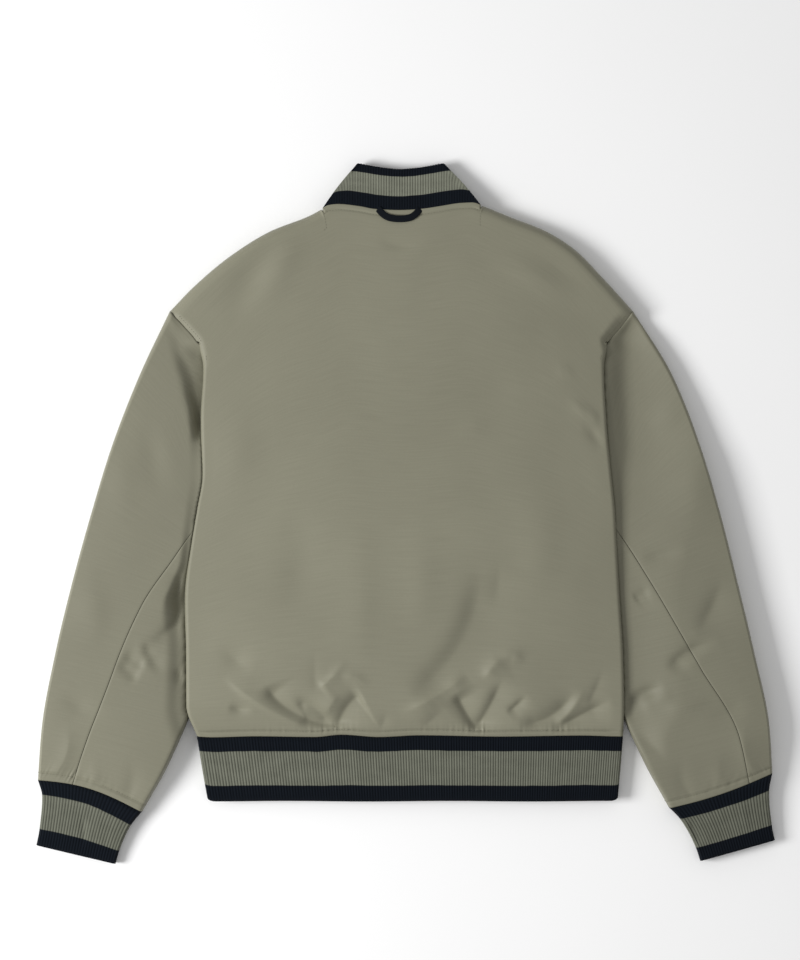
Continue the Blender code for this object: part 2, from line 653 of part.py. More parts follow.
fronts = {}
for side, word in ((-1, "left"), (1, "right")):
    fronts[side] = front_grid(side, back, FRONT_NECK_COLUMNS, close_at_ends(FRONT_ROWS))
    cloth(jacket, "front_" + word, fronts[side], SHELL_WALL, twill, flipped=side < 0)

    sections = SLEEVE_LEFT if side < 0 else SLEEVE_RIGHT
    shares = np.linspace(0, 1 - TURNED_SEAM_GAP / SLEEVE_LENGTH, SLEEVE_ROWS)
    for outer_piece, piece in ((True, "sleeve_upper_"), (False, "sleeve_under_")):
        grid = sleeve_grid(
            sections, side, outer_piece, shares, SLEEVE_COLUMNS_FLAT, SLEEVE_COLUMNS_TURN
        )
        inside_out = (side > 0) == outer_piece
        cloth(jacket, piece + word, grid, SHELL_WALL, twill, flipped=inside_out)

    sections = CUFF_LEFT if side < 0 else CUFF_RIGHT
    grid = cuff_grid(sections, side, RIB_ROWS, CUFF_COLUMNS_FLAT, SLEEVE_COLUMNS_TURN)
    cloth(jacket, "cuff_" + word, grid, RIB_WALL, rib, flipped=side > 0, round_about=True)

hem = hem_grid(fronts[-1], back, fronts[1], RIB_ROWS)
cloth(jacket, "hem_rib", hem, RIB_WALL, rib, flipped=True)

collar = collar_grid(fronts[-1], back, fronts[1], SHOULDER_COLUMNS, RIB_ROWS)
cloth(jacket, "collar_rib", collar, RIB_WALL, rib)

cloth(jacket, "hanger_loop", loop_grid(LOOP_STEPS), TAPE_WALL, tape, flipped=True)

back_low = FRONT_LIFT + FRONT_LAP_RISE + SHELL_WALL + SEAM_GAP
for number, y in enumerate(np.linspace(STUD_TOP_Y, STUD_BOTTOM_Y, STUD_COUNT), start=1):
    low = back_low + (RIB_WALL - SHELL_WALL if y < HEM_SEAM_Y else 0)
    disc(jacket, f"stud_cap_{number}", 0, y, 0, STUD_CAP_HEIGHT, STUD_CAP_RADIUS, metal)
    disc(jacket, f"stud_back_{number}", 0, y, low, STUD_BACK_HEIGHT, STUD_BACK_RADIUS, metal)
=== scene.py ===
import bmesh
import bpy
import numpy as np
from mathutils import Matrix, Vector


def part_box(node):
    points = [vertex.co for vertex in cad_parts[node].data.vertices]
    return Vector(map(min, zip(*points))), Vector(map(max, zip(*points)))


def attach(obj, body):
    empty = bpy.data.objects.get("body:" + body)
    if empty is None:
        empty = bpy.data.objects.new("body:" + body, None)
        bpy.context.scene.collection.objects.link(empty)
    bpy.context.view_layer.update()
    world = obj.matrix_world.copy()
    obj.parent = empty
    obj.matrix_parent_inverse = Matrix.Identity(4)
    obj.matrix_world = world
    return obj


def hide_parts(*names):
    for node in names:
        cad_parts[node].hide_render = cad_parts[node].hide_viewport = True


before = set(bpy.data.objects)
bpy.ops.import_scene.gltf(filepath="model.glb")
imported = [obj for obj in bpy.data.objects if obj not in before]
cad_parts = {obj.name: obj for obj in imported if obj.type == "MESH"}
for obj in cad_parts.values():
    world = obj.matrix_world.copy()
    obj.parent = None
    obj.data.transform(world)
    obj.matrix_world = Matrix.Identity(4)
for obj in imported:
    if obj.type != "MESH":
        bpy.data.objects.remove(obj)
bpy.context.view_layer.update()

# ------------------------------------------------------------
# The table, the light and the camera. The jacket lies on a plain pale surface and is seen from
# straight above. One large soft lamp stands to its left, and a pale room fills in.
# ------------------------------------------------------------
FLOOR_SIZE = 9.0
FLOOR_COLOUR = (0.93, 0.93, 0.93)
FLOOR_DULLER = 0.985        # the least bright of its slow mottling, as a share of its colour
CAMERA_HEIGHT = 3.6
CAMERA_X, CAMERA_Y = -0.006, 0.039
VIEW_HEIGHT = 1.126         # how much of the table the picture takes in, from top to bottom
SENSOR = 36.0
LAMP_PLACE = (-2.75, -0.3, 1.95)
LAMP_AIM = (0.0, 0.0, 0.0)
LAMP_SIZE = 1.3
LAMP_POWER = 117.0
ROOM_LIGHT = 0.5

bpy.ops.mesh.primitive_plane_add(size=FLOOR_SIZE)
floor = bpy.context.object
floor.name = "floor"
paint = bpy.data.materials.new("floor_paint")
paint.use_nodes = True
nodes, links = paint.node_tree.nodes, paint.node_tree.links
shader = nodes["Principled BSDF"]
shader.inputs["Roughness"].default_value = 0.9
shader.inputs["Specular IOR Level"].default_value = 0.1
grain = nodes.new("ShaderNodeTexNoise")
grain.inputs["Scale"].default_value = 4.0
tint = nodes.new("ShaderNodeMix")
tint.data_type = "RGBA"
tint.inputs["A"].default_value = (*FLOOR_COLOUR, 1.0)
tint.inputs["B"].default_value = (*(c * FLOOR_DULLER for c in FLOOR_COLOUR), 1.0)
place = nodes.new("ShaderNodeTexCoord")
links.new(place.outputs["Object"], grain.inputs["Vector"])
links.new(grain.outputs["Fac"], tint.inputs["Factor"])
links.new(tint.outputs["Result"], shader.inputs["Base Color"])
floor.data.materials.append(paint)

lamp = bpy.data.lights.new("soft_lamp", "AREA")
lamp.shape = "SQUARE"
lamp.size = LAMP_SIZE
lamp.energy = LAMP_POWER
lamp_object = bpy.data.objects.new("soft_lamp", lamp)
lamp_object.location = LAMP_PLACE
aim = Vector(LAMP_AIM) - Vector(LAMP_PLACE)
lamp_object.rotation_euler = aim.to_track_quat("-Z", "Y").to_euler()
bpy.context.scene.collection.objects.link(lamp_object)

room = bpy.data.worlds.new("pale_room")
room.use_nodes = True
room.node_tree.nodes["Background"].inputs["Color"].default_value = (1.0, 1.0, 1.0, 1.0)
room.node_tree.nodes["Background"].inputs["Strength"].default_value = ROOM_LIGHT
bpy.context.scene.world = room
bpy.context.scene.view_settings.view_transform = "Standard"

camera = bpy.data.cameras.new("camera")
camera.lens = SENSOR * CAMERA_HEIGHT / VIEW_HEIGHT
camera_object = bpy.data.objects.new("camera", camera)
camera_object.location = (CAMERA_X, CAMERA_Y, CAMERA_HEIGHT)
bpy.context.scene.collection.objects.link(camera_object)
bpy.context.scene.camera = camera_object

# ------------------------------------------------------------
# The back: one panel of satin twill with its lining, from the hem seam to the neck seam. Its sides
# roll under to the side seams and armholes, and its shoulders roll over to meet the fronts.
# Sizes in this section and the next ones are in millimetres and are scaled as a mesh is made.
# ------------------------------------------------------------
MM = 0.001
SHELL_WALL = 2.0
HEM_SEAM_Y = -260.3
SIDE_ROLL = 3.4
SIDE_LAP = 22.0
SIDE_UNDER = 12.6
SIDE_UNDER_Y = -234.0      # from here up, the sides lie on the sleeves
CROWN_SHAPE = 2.5          # how flat the back is across its middle
FALL_SHAPE = 1.1           # how the back falls away to its armholes: 1 is straight
ROLL_LOW_Y = 176.0
ROLL_HIGH_Y = 202.0
ROUND_SHARE = 0.65
SHOULDER_ROLL = 9.0
SHOULDER_LAP = 16.0
SHOULDER_MIDDLE = 11.0
NECK_LEFT_X = -99.0
NECK_RIGHT_X = 91.0
NECK_TURN = 1.6
STITCH_IN = 6.6         # topstitching runs this far in from the hem and neck seams
ARMHOLE_STITCH_IN = 5.5
STITCH_DEPTH = 1.5      # the stitches pull the cloth down this much
STITCH_PULL = 1.1       # half the width of the furrow that they pull
SEAM_PUFF = 0.4         # the seam allowances fill the cloth between the stitches and the seam
NECK_FURROW = 0.6       # the neck's furrow, as a share of the hem's
ARMHOLE_FURROW = 0.6    # depth of the furrow along the armholes
CREASES_FROM_SIDE = 2.0, 22.0       # creases start and are full this far from the side,
CREASES_FROM_TOP = 2.0, 26.0        # from the top edge
CREASES_FROM_HEM = 1.0, 20.0        # and from the hem seam


def table(columns, rows):
    """The named columns of a short table."""
    return dict(zip(columns.split(), np.array(rows, float).T))


def smooth(x, xs, ys):
    """A curve through the rows of a table that never overshoots between them."""
    x = np.clip(x, xs[0], xs[-1])
    step = np.diff(xs)
    slope = np.diff(ys) / step
    tangent = np.zeros(len(xs))
    tangent[0], tangent[-1] = slope[0], slope[-1]
    before, after = slope[:-1], slope[1:]
    turning = before * after > 0
    weight_a = 2 * step[1:] + step[:-1]
    weight_b = step[1:] + 2 * step[:-1]
    safe_before = np.where(turning, before, 1.0)
    safe_after = np.where(turning, after, 1.0)
    mean = (weight_a + weight_b) / (weight_a / safe_before + weight_b / safe_after)
    tangent[1:-1] = np.where(turning, mean, 0.0)
    i = np.clip(np.searchsorted(xs, x, side="right") - 1, 0, len(step) - 1)
    t = (x - xs[i]) / step[i]
    return (
        (2 * t**3 - 3 * t**2 + 1) * ys[i]
        + (t**3 - 2 * t**2 + t) * step[i] * tangent[i]
        + (3 * t**2 - 2 * t**3) * ys[i + 1]
        + (t**3 - t**2) * step[i] * tangent[i + 1]
    )


def read(rows, place, name):
    """A table's column, on a smooth curve, at a place along the table's first column."""
    return smooth(place, next(iter(rows.values())), rows[name])


def ease(x, low, high):
    """0 below low, 1 above high, and a soft step between."""
    t = np.clip((x - low) / (high - low), 0, 1)
    return t * t * (3 - 2 * t)


def quarter(distance, radius):
    """The height of a quarter round, 0 at its edge and 1 at its radius."""
    return np.sqrt(1 - (1 - np.clip(distance / radius, 0, 1)) ** 2)


def blend(a, b, share):
    return a + (b - a) * share


def graded(*stretches):
    """Shares from 0 to 1 along stretches of (from, to, step), each with its own step."""
    places = [np.array([stretches[0][0]])]
    for start, end, step in stretches:
        places.append(np.linspace(start, end, max(2, round((end - start) / step) + 1))[1:])
    places = np.concatenate(places)
    return (places - places[0]) / (places[-1] - places[0])


SIDES = table("y left right", (
    (-260.3, -243.6, 255),
    (-224, -255.5, 255.4),
    (-160, -255.8, 254),
    (-101, -257, 250.4),
    (-31, -249.2, 246.5),
    (4, -243.4, 244.6),
    (45, -237, 240.5),
    (110, -238.4, 234.6),
    (168, -235.5, 232),
    (198, -242, 236.8),
    (218, -257.5, 252.4),
    (236, -275, 266.5),
))
TOP = table("x y", (
    (-275, 236),
    (-248, 264),
    (-204, 301),
    (-157, 330),
    (-113, 347.3),
    (-95.3, 356.6),
    (-90, 359.4),
    (-78, 360.8),
    (-54, 358.4),
    (-35, 355),
    (-6, 353.7),
    (20, 355.3),
    (40, 358.2),
    (65, 362),
    (79, 362.6),
    (88, 360),
    (122, 346.6),
    (165, 329.4),
    (196, 310),
    (233, 273),
    (266.5, 236),
))
HEIGHTS = table("y middle edge", (
    (-260.3, 19.5, 18.5),
    (-245, 26, 23),
    (-215, 33, 27),
    (-60, 36, 28),
    (110, 34, 28),
    (200, 31, 26),
    (236, 29, 23),
    (300, 26, 22.5),
    (364, 22, 22),
))
# At the shoulder points the back falls away to its armhole seams.
SHOULDER_FALL = table("y left left_width right right_width", (
    (165, 0, 7, 0, 5),
    (188, 2, 7, 2, 5),
    (198, 3, 8, 7, 9),
    (206, 3.5, 8, 10, 13),
    (222, 3, 8, 9, 15),
    (238, 0, 8, 0, 15),
))


def side_x(y, side):
    """Where the laid body's side lies at height y: side is -1 on the left and 1 on the right."""
    return read(SIDES, y, "left" if side < 0 else "right")


def body_plan(across, up):
    """A place on the laid body, across from its left side (0) and up from its hem (0)."""
    side_y = blend(HEM_SEAM_Y, SIDES["y"][-1], up)
    top_y = read(TOP, blend(SIDES["left"][-1], SIDES["right"][-1], across), "y")
    return blend(side_x(side_y, -1), side_x(side_y, 1), across), blend(HEM_SEAM_Y, top_y, up)


def body_height(across, y):
    """How high the back's outside lies, before it turns down at the sides and shoulders."""
    edge = read(HEIGHTS, y, "edge")
    middle = read(HEIGHTS, y, "middle")
    return edge + (middle - edge) * (1 - np.abs(2 * np.clip(across, 0, 1) - 1) ** CROWN_SHAPE)


def shoulder_fall(x, y):
    """How far the back has fallen away beside its armhole seams."""
    falls = 0
    for side, word in ((-1, "left"), (1, "right")):
        fall = read(SHOULDER_FALL, y, word)
        width = read(SHOULDER_FALL, y, word + "_width")
        inward = side * (side_x(y, side) - x)
        falls = falls + fall * np.clip(1 - inward / width, 0, 1) ** FALL_SHAPE
    return falls


def side_under(y):
    """Height of the body's underside along its sides: it lies on the sleeves, not on the hem."""
    return SIDE_UNDER * ease(y, HEM_SEAM_Y, SIDE_UNDER_Y)


def rolled_strip(t, top, middle, under, roll, lap, share):
    """Distance in from the fold and height, along cloth that rolls over an edge and back under."""
    turn = np.pi * np.clip(t / ROUND_SHARE, 0, 1)
    straight = np.clip((t - ROUND_SHARE) / (1 - ROUND_SHARE), 0, 1)
    distance = roll * (1 - np.sin(turn)) + (lap - roll) * straight
    over = middle + (top - middle) * np.cos(turn)
    beneath = middle + (middle - under) * np.cos(turn)
    height = np.where(turn < np.pi / 2, over, beneath)
    return roll * (1 - t) * (1 - share) ** 3 + distance * share, blend(top, height, share)


def side_strip(t, y, top):
    """The back's cloth where it rolls over the side."""
    share = 1 - ease(y, ROLL_LOW_Y, ROLL_HIGH_Y)
    under = side_under(y)
    return rolled_strip(t, top, blend(under, top, 0.5), under, SIDE_ROLL, SIDE_LAP, share)


def neck_share(x):
    """1 where the neck seam ends the back on its upper side, 0 where the shoulder rolls over."""
    left = ease(x, NECK_LEFT_X - NECK_TURN, NECK_LEFT_X + NECK_TURN)
    return left - ease(x, NECK_RIGHT_X - NECK_TURN, NECK_RIGHT_X + NECK_TURN)


def furrow(distance, place, depth=STITCH_DEPTH):
    """The narrow furrow that a row of stitches pulls into cloth."""
    return -depth * np.exp(-(((distance - place) / STITCH_PULL) ** 2))


def puff(distance, width):
    """The soft roll of cloth between a seam and its row of topstitching."""
    return SEAM_PUFF * np.sin(np.pi * np.clip(distance / width, 0, 1))


def path_points(start, bend, end, count=20):
    """Points along one soft curve that passes through start, bend and end."""
    t = np.linspace(0, 1, count)[:, None]
    control = 2 * bend - (start + end) / 2
    return (1 - t) ** 2 * start + 2 * t * (1 - t) * control + t**2 * end


CREST = 1.4     # below 2, a crease has a crisper crest than a smooth wave
SOFT_SPREAD = 11.0      # creases that spread wider than this are smooth waves
CREASE_REACH = 2.6      # how many spreads away a crease is still worked out


def creases(x, y, rows):
    """Height that soft creases add at each place: a ridge or, with a negative height, a trough.

    A crease runs from its start through its bend to its end. left and right are how far it
    spreads on each side of its line, and fade_in and fade_out the shares over which it starts
    and dies away.
    """
    total = np.zeros(np.broadcast(x, y).shape)
    for n in range(len(rows["height"])):
        row = {name: rows[name][n] for name in rows}
        start = np.array([row["from_x"], row["from_y"]])
        bend = np.array([row["bend_x"], row["bend_y"]])
        end = np.array([row["to_x"], row["to_y"]])
        line = path_points(start, bend, end)
        reach = CREASE_REACH * max(row["left"], row["right"])
        near = (
            (x > line[:, 0].min() - reach) & (x < line[:, 0].max() + reach)
            & (y > line[:, 1].min() - reach) & (y < line[:, 1].max() + reach)
        )
        px, py = (x + 0 * y)[near][:, None], (y + 0 * x)[near][:, None]
        if px.size == 0:
            continue
        ax, ay = line[:-1, 0], line[:-1, 1]
        dx, dy = np.diff(line[:, 0]), np.diff(line[:, 1])
        along = np.clip(((px - ax) * dx + (py - ay) * dy) / (dx**2 + dy**2), 0, 1)
        off_x, off_y = px - ax - along * dx, py - ay - along * dy
        away = np.hypot(off_x, off_y)
        nearest = np.argmin(away, axis=1)
        pick = np.arange(len(nearest)), nearest
        t = (nearest + along[pick]) / len(ax)
        on_left = dx[nearest] * off_y[pick] - dy[nearest] * off_x[pick] > 0
        side = np.where(on_left, row["left"], row["right"])
        strength = ease(t, 0, row["fade_in"]) if row["fade_in"] > 0 else 1.0
        if row["fade_out"] > 0:
            strength = strength * (1 - ease(t, 1 - row["fade_out"], 1))
        crest = np.where(min(row["left"], row["right"]) > SOFT_SPREAD, 2.0, CREST)
        total[near] += row["height"] * strength * np.exp(-((away[pick] / side) ** crest))
    return total


CREASE_COLUMNS = "from_x from_y bend_x bend_y to_x to_y height left right fade_in fade_out"

# Where the back's cloth creases: gathered folds that fan up from the hem seam, a long soft trough
# beside the middle, and slack towards the shoulders.
BACK_CREASES = table(CREASE_COLUMNS, (
    (-212, -187, -171, -220.5, -114, -249.5, 2.6, 15, 3.6, 0.35, 0.1),
    (-161, -198, -139, -225, -92, -247, -6.6, 14, 8.5, 0.25, 0),
    (-128, -226, -112, -222, -94, -238, -4, 8, 9, 0.3, 0),
    (-100, -203, -84, -189, -67, -168, 2.8, 4.5, 12, 0.2, 0.5),
    (-76, -190, -58, -190.5, -40, -202, 1.8, 7, 6, 0.4, 0.5),
    (-94, -236, -86, -222, -77, -208, 1.8, 12, 5, 0.3, 0.4),
    (-79, -253, -68, -226, -50, -210, -6.8, 8, 22, 0, 0.2),
    (-104, -150, -105, -186, -103, -212, -0.8, 6, 6, 0.6, 0.3),
    (-206, -224.5, -194, -227.5, -176, -229, -3, 5, 6, 0.5, 0.5),
    (-222, -150, -198, -170, -176, -184, -2.4, 16, 10, 0.6, 0.6),
    (90, -52, 70, -145, 6, -216, -5.2, 46, 15, 0.35, 0.2),
    (108, -54, 108, -84, 98, -112, -1.6, 18, 9, 0.5, 0.5),
    (-10, -237, 36, -212, 72, -187, 4.2, 6.5, 18, 0.4, 0.25),
    (20, -254, 34, -238, 50, -226, -1.8, 7, 12, 0.3, 0.6),
    (82, -251, 70, -230, 58, -208, -6.6, 6.5, 16, 0, 0.25),
    (82, -252, 99, -224, 115, -189, -5.4, 6, 24, 0, 0.35),
    (92, -196, 104, -175, 122, -165, 4, 7.5, 12, 0.3, 0.5),
    (108, -171, 124, -164.5, 141, -174, 2.6, 7, 7, 0.4, 0.4),
    (118, -233, 130, -223, 143, -210, -3.8, 3.6, 9, 0.35, 0.45),
    (130, -250, 172, -235, 199, -203, -6.6, 9.5, 15, 0.25, 0.35),
    (176, -247, 194, -228, 210, -200, 2.8, 6, 6, 0.2, 0.45),
    (180, -252, 206, -235, 242, -216.5, -6.2, 6.5, 16, 0, 0.35),
    (212, -224, 222, -204, 232, -178, -1.6, 4.5, 9, 0.3, 0.5),
    (-30, -256, -24, -240, -22, -226, -1.4, 6, 7, 0, 0.7),
    (-140, 322, -178, 274, -216, 224, -3, 18, 20, 0.5, 0.5),
    (-120, 330, -148, 284, -192, 222, 1.8, 16, 18, 0.5, 0.5),
    (96, 305, 160, 272, 220, 244, 1.6, 12, 14, 0.5, 0.6),
    (120, 318, 176, 288, 216, 258, -1.2, 10, 12, 0.6, 0.6),
    (170, 168, 186, 166, 204, 157, 1.4, 5, 5, 0.6, 0.6),
    (186, 134, 208, 120, 230, 106, 2.2, 5, 6, 0.5, 0.2),
    (204, 103, 220, 93, 233, 78, -2.8, 4, 6, 0.6, 0.1),
    (44, 84, 80, 102, 114, 117, 1.2, 9, 9, 0.6, 0.6),
    (-34, 322, -5, 312, 30, 323, -1.8, 7, 8, 0.5, 0.5),
    (-210, -30, -196, 60, -204, 150, 1.6, 22, 26, 0.6, 0.6),
    (-60, -190, -52, -90, -64, 20, 2, 24, 20, 0.5, 0.6),
    (-132, -150, -122, -60, -128, 30, -1.8, 22, 22, 0.6, 0.6),
    (150, -120, 158, -40, 150, 60, 1.8, 22, 22, 0.6, 0.6),
    (10, -170, 20, -80, 12, 30, 1.4, 18, 18, 0.6, 0.6),
))
# Places along the hem seam where the cloth is gathered in most.
GATHERS = table("x spread depth", (
    (-150, 16, 0.25),
    (-98, 15, 0.9),
    (-70, 10, 0.5),
    (24, 18, 0.3),
    (68, 20, 0.8),
    (90, 8, 0.6),
    (134, 10, 0.3),
    (182, 18, 0.9),
))
GATHER_WAVES = table("length share shift", (
    (4.3, 0.5, 0.4),
    (6.1, 0.6, 2.1),
    (9.7, 0.4, 4),
))
GATHER_REACH = 4.5      # how far above the stitches the puckers die away
GATHER_LEAST = 0.12     # depth of the puckers where nothing is gathered
GATHER_AT_SEAM = 0.45   # their share between the seam and the stitches


def gathers(x, above):
    """Small puckers at a gathered seam, by place along it and distance above it."""
    depth = GATHER_LEAST
    for place, spread, deep in zip(GATHERS["x"], GATHERS["spread"], GATHERS["depth"]):
        depth = depth + deep * np.exp(-(((x - place) / spread) ** 2))
    wave = 0
    for length, share, shift in zip(*GATHER_WAVES.values()):
        wave = wave + share * np.sin(2 * np.pi * x / length + shift)
    low = GATHER_AT_SEAM * above / STITCH_IN
    upward = np.where(above < STITCH_IN, low, np.exp(-(above - STITCH_IN) / GATHER_REACH))
    return depth * wave * upward


def back_grid(spread, rise, strip):
    """The back's outside: columns between two rolled sides, and rows up to the rolled shoulders."""
    turned = np.arange(1, strip + 1) / strip
    side_t = np.concatenate([-turned[::-1], np.zeros(len(spread)), turned])
    spread = np.concatenate([np.zeros(strip), spread, np.ones(strip)])
    top_t = np.concatenate([np.zeros(len(rise)), turned])[:, None]
    rise = np.concatenate([rise, np.ones(strip)])[:, None]

    top_x = blend(SIDES["left"][-1], SIDES["right"][-1], spread)
    reach = read(TOP, top_x, "y") - HEM_SEAM_Y
    on_neck = neck_share(top_x)
    over, _ = rolled_strip(top_t, 0, 0, 0, SHOULDER_ROLL, SHOULDER_LAP, 1 - on_neck)
    up = np.where(top_t > 0, 1 - over / reach, rise * (1 - SHOULDER_ROLL / reach))
    side_y = blend(HEM_SEAM_Y, SIDES["y"][-1], up)
    width = side_x(side_y, 1) - side_x(side_y, -1)
    inward, _ = side_strip(np.abs(side_t), side_y, body_height(0, side_y))
    across = blend(SIDE_ROLL / width, 1 - SIDE_ROLL / width, spread)
    across = np.where(side_t < 0, inward / width, np.where(side_t > 0, 1 - inward / width, across))
    x, y = body_plan(across, up)
    height = body_height(across, y) - shoulder_fall(x, y)
    above, below_edge = y - HEM_SEAM_Y, (1 - up) * reach
    inside = ease(np.minimum(across, 1 - across) * width, *CREASES_FROM_SIDE)
    below_top = ease(below_edge, *CREASES_FROM_TOP)
    above_hem = ease(above, *CREASES_FROM_HEM)
    height = height + creases(x, y, BACK_CREASES) * inside * below_top * above_hem
    height = height + gathers(x, above) * inside
    height = height + (furrow(above, STITCH_IN) + puff(above, STITCH_IN)) * inside
    neck_furrow = NECK_FURROW * furrow(below_edge, STITCH_IN)
    height = height + (neck_furrow + puff(below_edge, STITCH_IN)) * on_neck
    top = np.where(side_t == 0, height, side_strip(np.abs(side_t), side_y, height)[1])
    open_seam = ease(y, ROLL_LOW_Y, ROLL_HIGH_Y)
    beside_seam = SIDE_ROLL * (1 - np.abs(side_t))
    top = top + furrow(beside_seam, ARMHOLE_STITCH_IN, ARMHOLE_FURROW) * open_seam * (side_t != 0)
    middle = np.minimum(SHOULDER_MIDDLE, top)
    _, over_z = rolled_strip(top_t, top, middle, 0, SHOULDER_ROLL, SHOULDER_LAP, 1 - on_neck)
    return np.stack([x, y, np.where(top_t > 0, over_z, top)], axis=-1)


def lay_out(grid):
    """Distances across and along a grid of cloth, for its weave to follow."""
    across = np.linalg.norm(np.diff(grid, axis=1), axis=-1).mean(axis=0)
    along = np.linalg.norm(np.diff(grid, axis=0), axis=-1).mean(axis=1)
    u = np.concatenate([[0], np.cumsum(across)])
    v = np.concatenate([[0], np.cumsum(along)])
    return np.stack(np.broadcast_arrays(u[None, :], v[:, None]), axis=-1)


def quads(rows, columns, closed):
    """The four-cornered faces of a grid of points: closed joins its last column to its first."""
    i = np.arange(rows - 1)[:, None]
    j = np.arange(columns if closed else columns - 1)[None, :]
    k = (j + 1) % columns
    corners = [i * columns + j, i * columns + k, (i + 1) * columns + k, (i + 1) * columns + j]
    return np.stack(corners, axis=-1).reshape(-1, 4)


def placed(name, mesh):
    """A new object made of this mesh, in the scene."""
    made = bpy.data.objects.new(name, mesh)
    bpy.context.scene.collection.objects.link(made)
    return made


def cloth(name, grid, wall, material, flipped=False, round_about=False, lay=None):
    """A piece of cloth: the grid is its outside, and Solidify gives it its wall on the inside."""
    faces = quads(*grid.shape[:2], round_about)
    faces = faces[:, ::-1] if flipped else faces
    mesh = bpy.data.meshes.new(name)
    mesh.from_pydata((grid.reshape(-1, 3) * MM).tolist(), [], faces.tolist())
    mesh.shade_smooth()
    mesh.materials.append(material)
    uv = mesh.uv_layers.new(name="weave")
    lay = (lay_out(grid) if lay is None else lay).reshape(-1, 2) * MM
    uv.data.foreach_set("uv", lay[faces.reshape(-1)].reshape(-1))
    piece = placed(name, mesh)
    solid = piece.modifiers.new("wall", "SOLIDIFY")
    solid.thickness = wall * MM
    solid.offset = -1
    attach(piece, "root")
    return piece


def group(name, inputs, outputs):
    """An empty shader group with named sockets, and its two ends."""
    tree = bpy.data.node_groups.new(name, "ShaderNodeTree")
    for socket, kind in inputs:
        tree.interface.new_socket(socket, in_out="INPUT", socket_type=kind)
    for socket in outputs:
        tree.interface.new_socket(socket, in_out="OUTPUT", socket_type="NodeSocketFloat")
    start = tree.nodes.new("NodeGroupInput")
    end = tree.nodes.new("NodeGroupOutput")
    return tree, start, end


def maths(tree, operation, first, second=None):
    """One Math node, fed by sockets or plain numbers."""
    node = tree.nodes.new("ShaderNodeMath")
    node.operation = operation
    for socket, value in zip(node.inputs, (first, second)):
        if isinstance(value, bpy.types.NodeSocket):
            tree.links.new(value, socket)
        elif value is not None:
            socket.default_value = value
    return node.outputs[0]


def about_zero(tree, noise, size):
    """Noise moved from 0..1 to lie about 0, and scaled by size."""
    return maths(tree, "MULTIPLY", maths(tree, "SUBTRACT", noise, 0.5), size)


def stretched_noise(tree, vector, across, along, detail=2.0):
    """Noise whose grains are 1/across wide and 1/along long, in metres."""
    scale = tree.nodes.new("ShaderNodeVectorMath")
    scale.operation = "MULTIPLY"
    scale.inputs[1].default_value = (across, along, 1.0)
    tree.links.new(vector, scale.inputs[0])
    noise = tree.nodes.new("ShaderNodeTexNoise")
    noise.noise_dimensions = "2D"
    noise.inputs["Scale"].default_value = 1.0
    noise.inputs["Detail"].default_value = detail
    tree.links.new(scale.outputs[0], noise.inputs["Vector"])
    return noise.outputs["Fac"]


def dressed(name, sockets):
    """A new material, its node tree and its shader, with the shader's own sockets set."""
    material = bpy.data.materials.new(name)
    material.use_nodes = True
    shader = material.node_tree.nodes["Principled BSDF"]
    for socket, value in sockets.items():
        shader.inputs[socket].default_value = value
    return material, material.node_tree, shader


def mixed(tree, share, dark, light):
    """The colour that lies by share between two: each is a plain colour or a socket."""
    node = tree.nodes.new("ShaderNodeMix")
    node.data_type = "RGBA"
    tree.links.new(share, node.inputs["Factor"])
    for socket, colour in ((node.inputs["A"], dark), (node.inputs["B"], light)):
        if isinstance(colour, bpy.types.NodeSocket):
            tree.links.new(colour, socket)
        else:
            socket.default_value = (*colour, 1.0)
    return node.outputs["Result"]


def grouped(tree, group_tree, settings):
    """A node of a shader group that reads the weave map, with its plain inputs set."""
    node = tree.nodes.new("ShaderNodeGroup")
    node.node_tree = group_tree
    for socket, value in settings.items():
        node.inputs[socket].default_value = value
    lay = tree.nodes.new("ShaderNodeUVMap")
    lay.uv_map = "weave"
    tree.links.new(lay.outputs["UV"], node.inputs["Weave"])
    return node


def raise_relief(tree, shader, height, distance):
    """Fine relief on a shader, this many metres high."""
    bump = tree.nodes.new("ShaderNodeBump")
    bump.inputs["Distance"].default_value = distance
    tree.links.new(height, bump.inputs["Height"])
    tree.links.new(bump.outputs["Normal"], shader.inputs["Normal"])


# The weave of the shell: fine weft floats across the panel, thicker slubs, and a slow unevenness.
weave_tree, weave_in, weave_out = group(
    "satin_weave",
    [("Weave", "NodeSocketVector"), ("Slubs", "NodeSocketFloat"),
     ("Unevenness", "NodeSocketFloat")],
    ["Shade", "Gloss", "Height"],
)
floats = stretched_noise(weave_tree, weave_in.outputs["Weave"], 330.0, 1500.0)
slubs = stretched_noise(weave_tree, weave_in.outputs["Weave"], 22.0, 620.0)
slow = stretched_noise(weave_tree, weave_in.outputs["Weave"], 9.0, 7.0)
slubs = about_zero(weave_tree, slubs, weave_in.outputs["Slubs"])
slow = about_zero(weave_tree, slow, weave_in.outputs["Unevenness"])
shade = maths(weave_tree, "ADD", maths(weave_tree, "ADD", slubs, slow), 0.5)
fine = about_zero(weave_tree, floats, 0.35)
shade = maths(weave_tree, "ADD", shade, fine)
weave_tree.links.new(shade, weave_out.inputs["Shade"])
gloss = maths(weave_tree, "ADD", maths(weave_tree, "MULTIPLY", fine, 0.5), 0.5)
weave_tree.links.new(gloss, weave_out.inputs["Gloss"])
raised = maths(weave_tree, "ADD", maths(weave_tree, "MULTIPLY", slubs, 1.5), floats)
weave_tree.links.new(raised, weave_out.inputs["Height"])


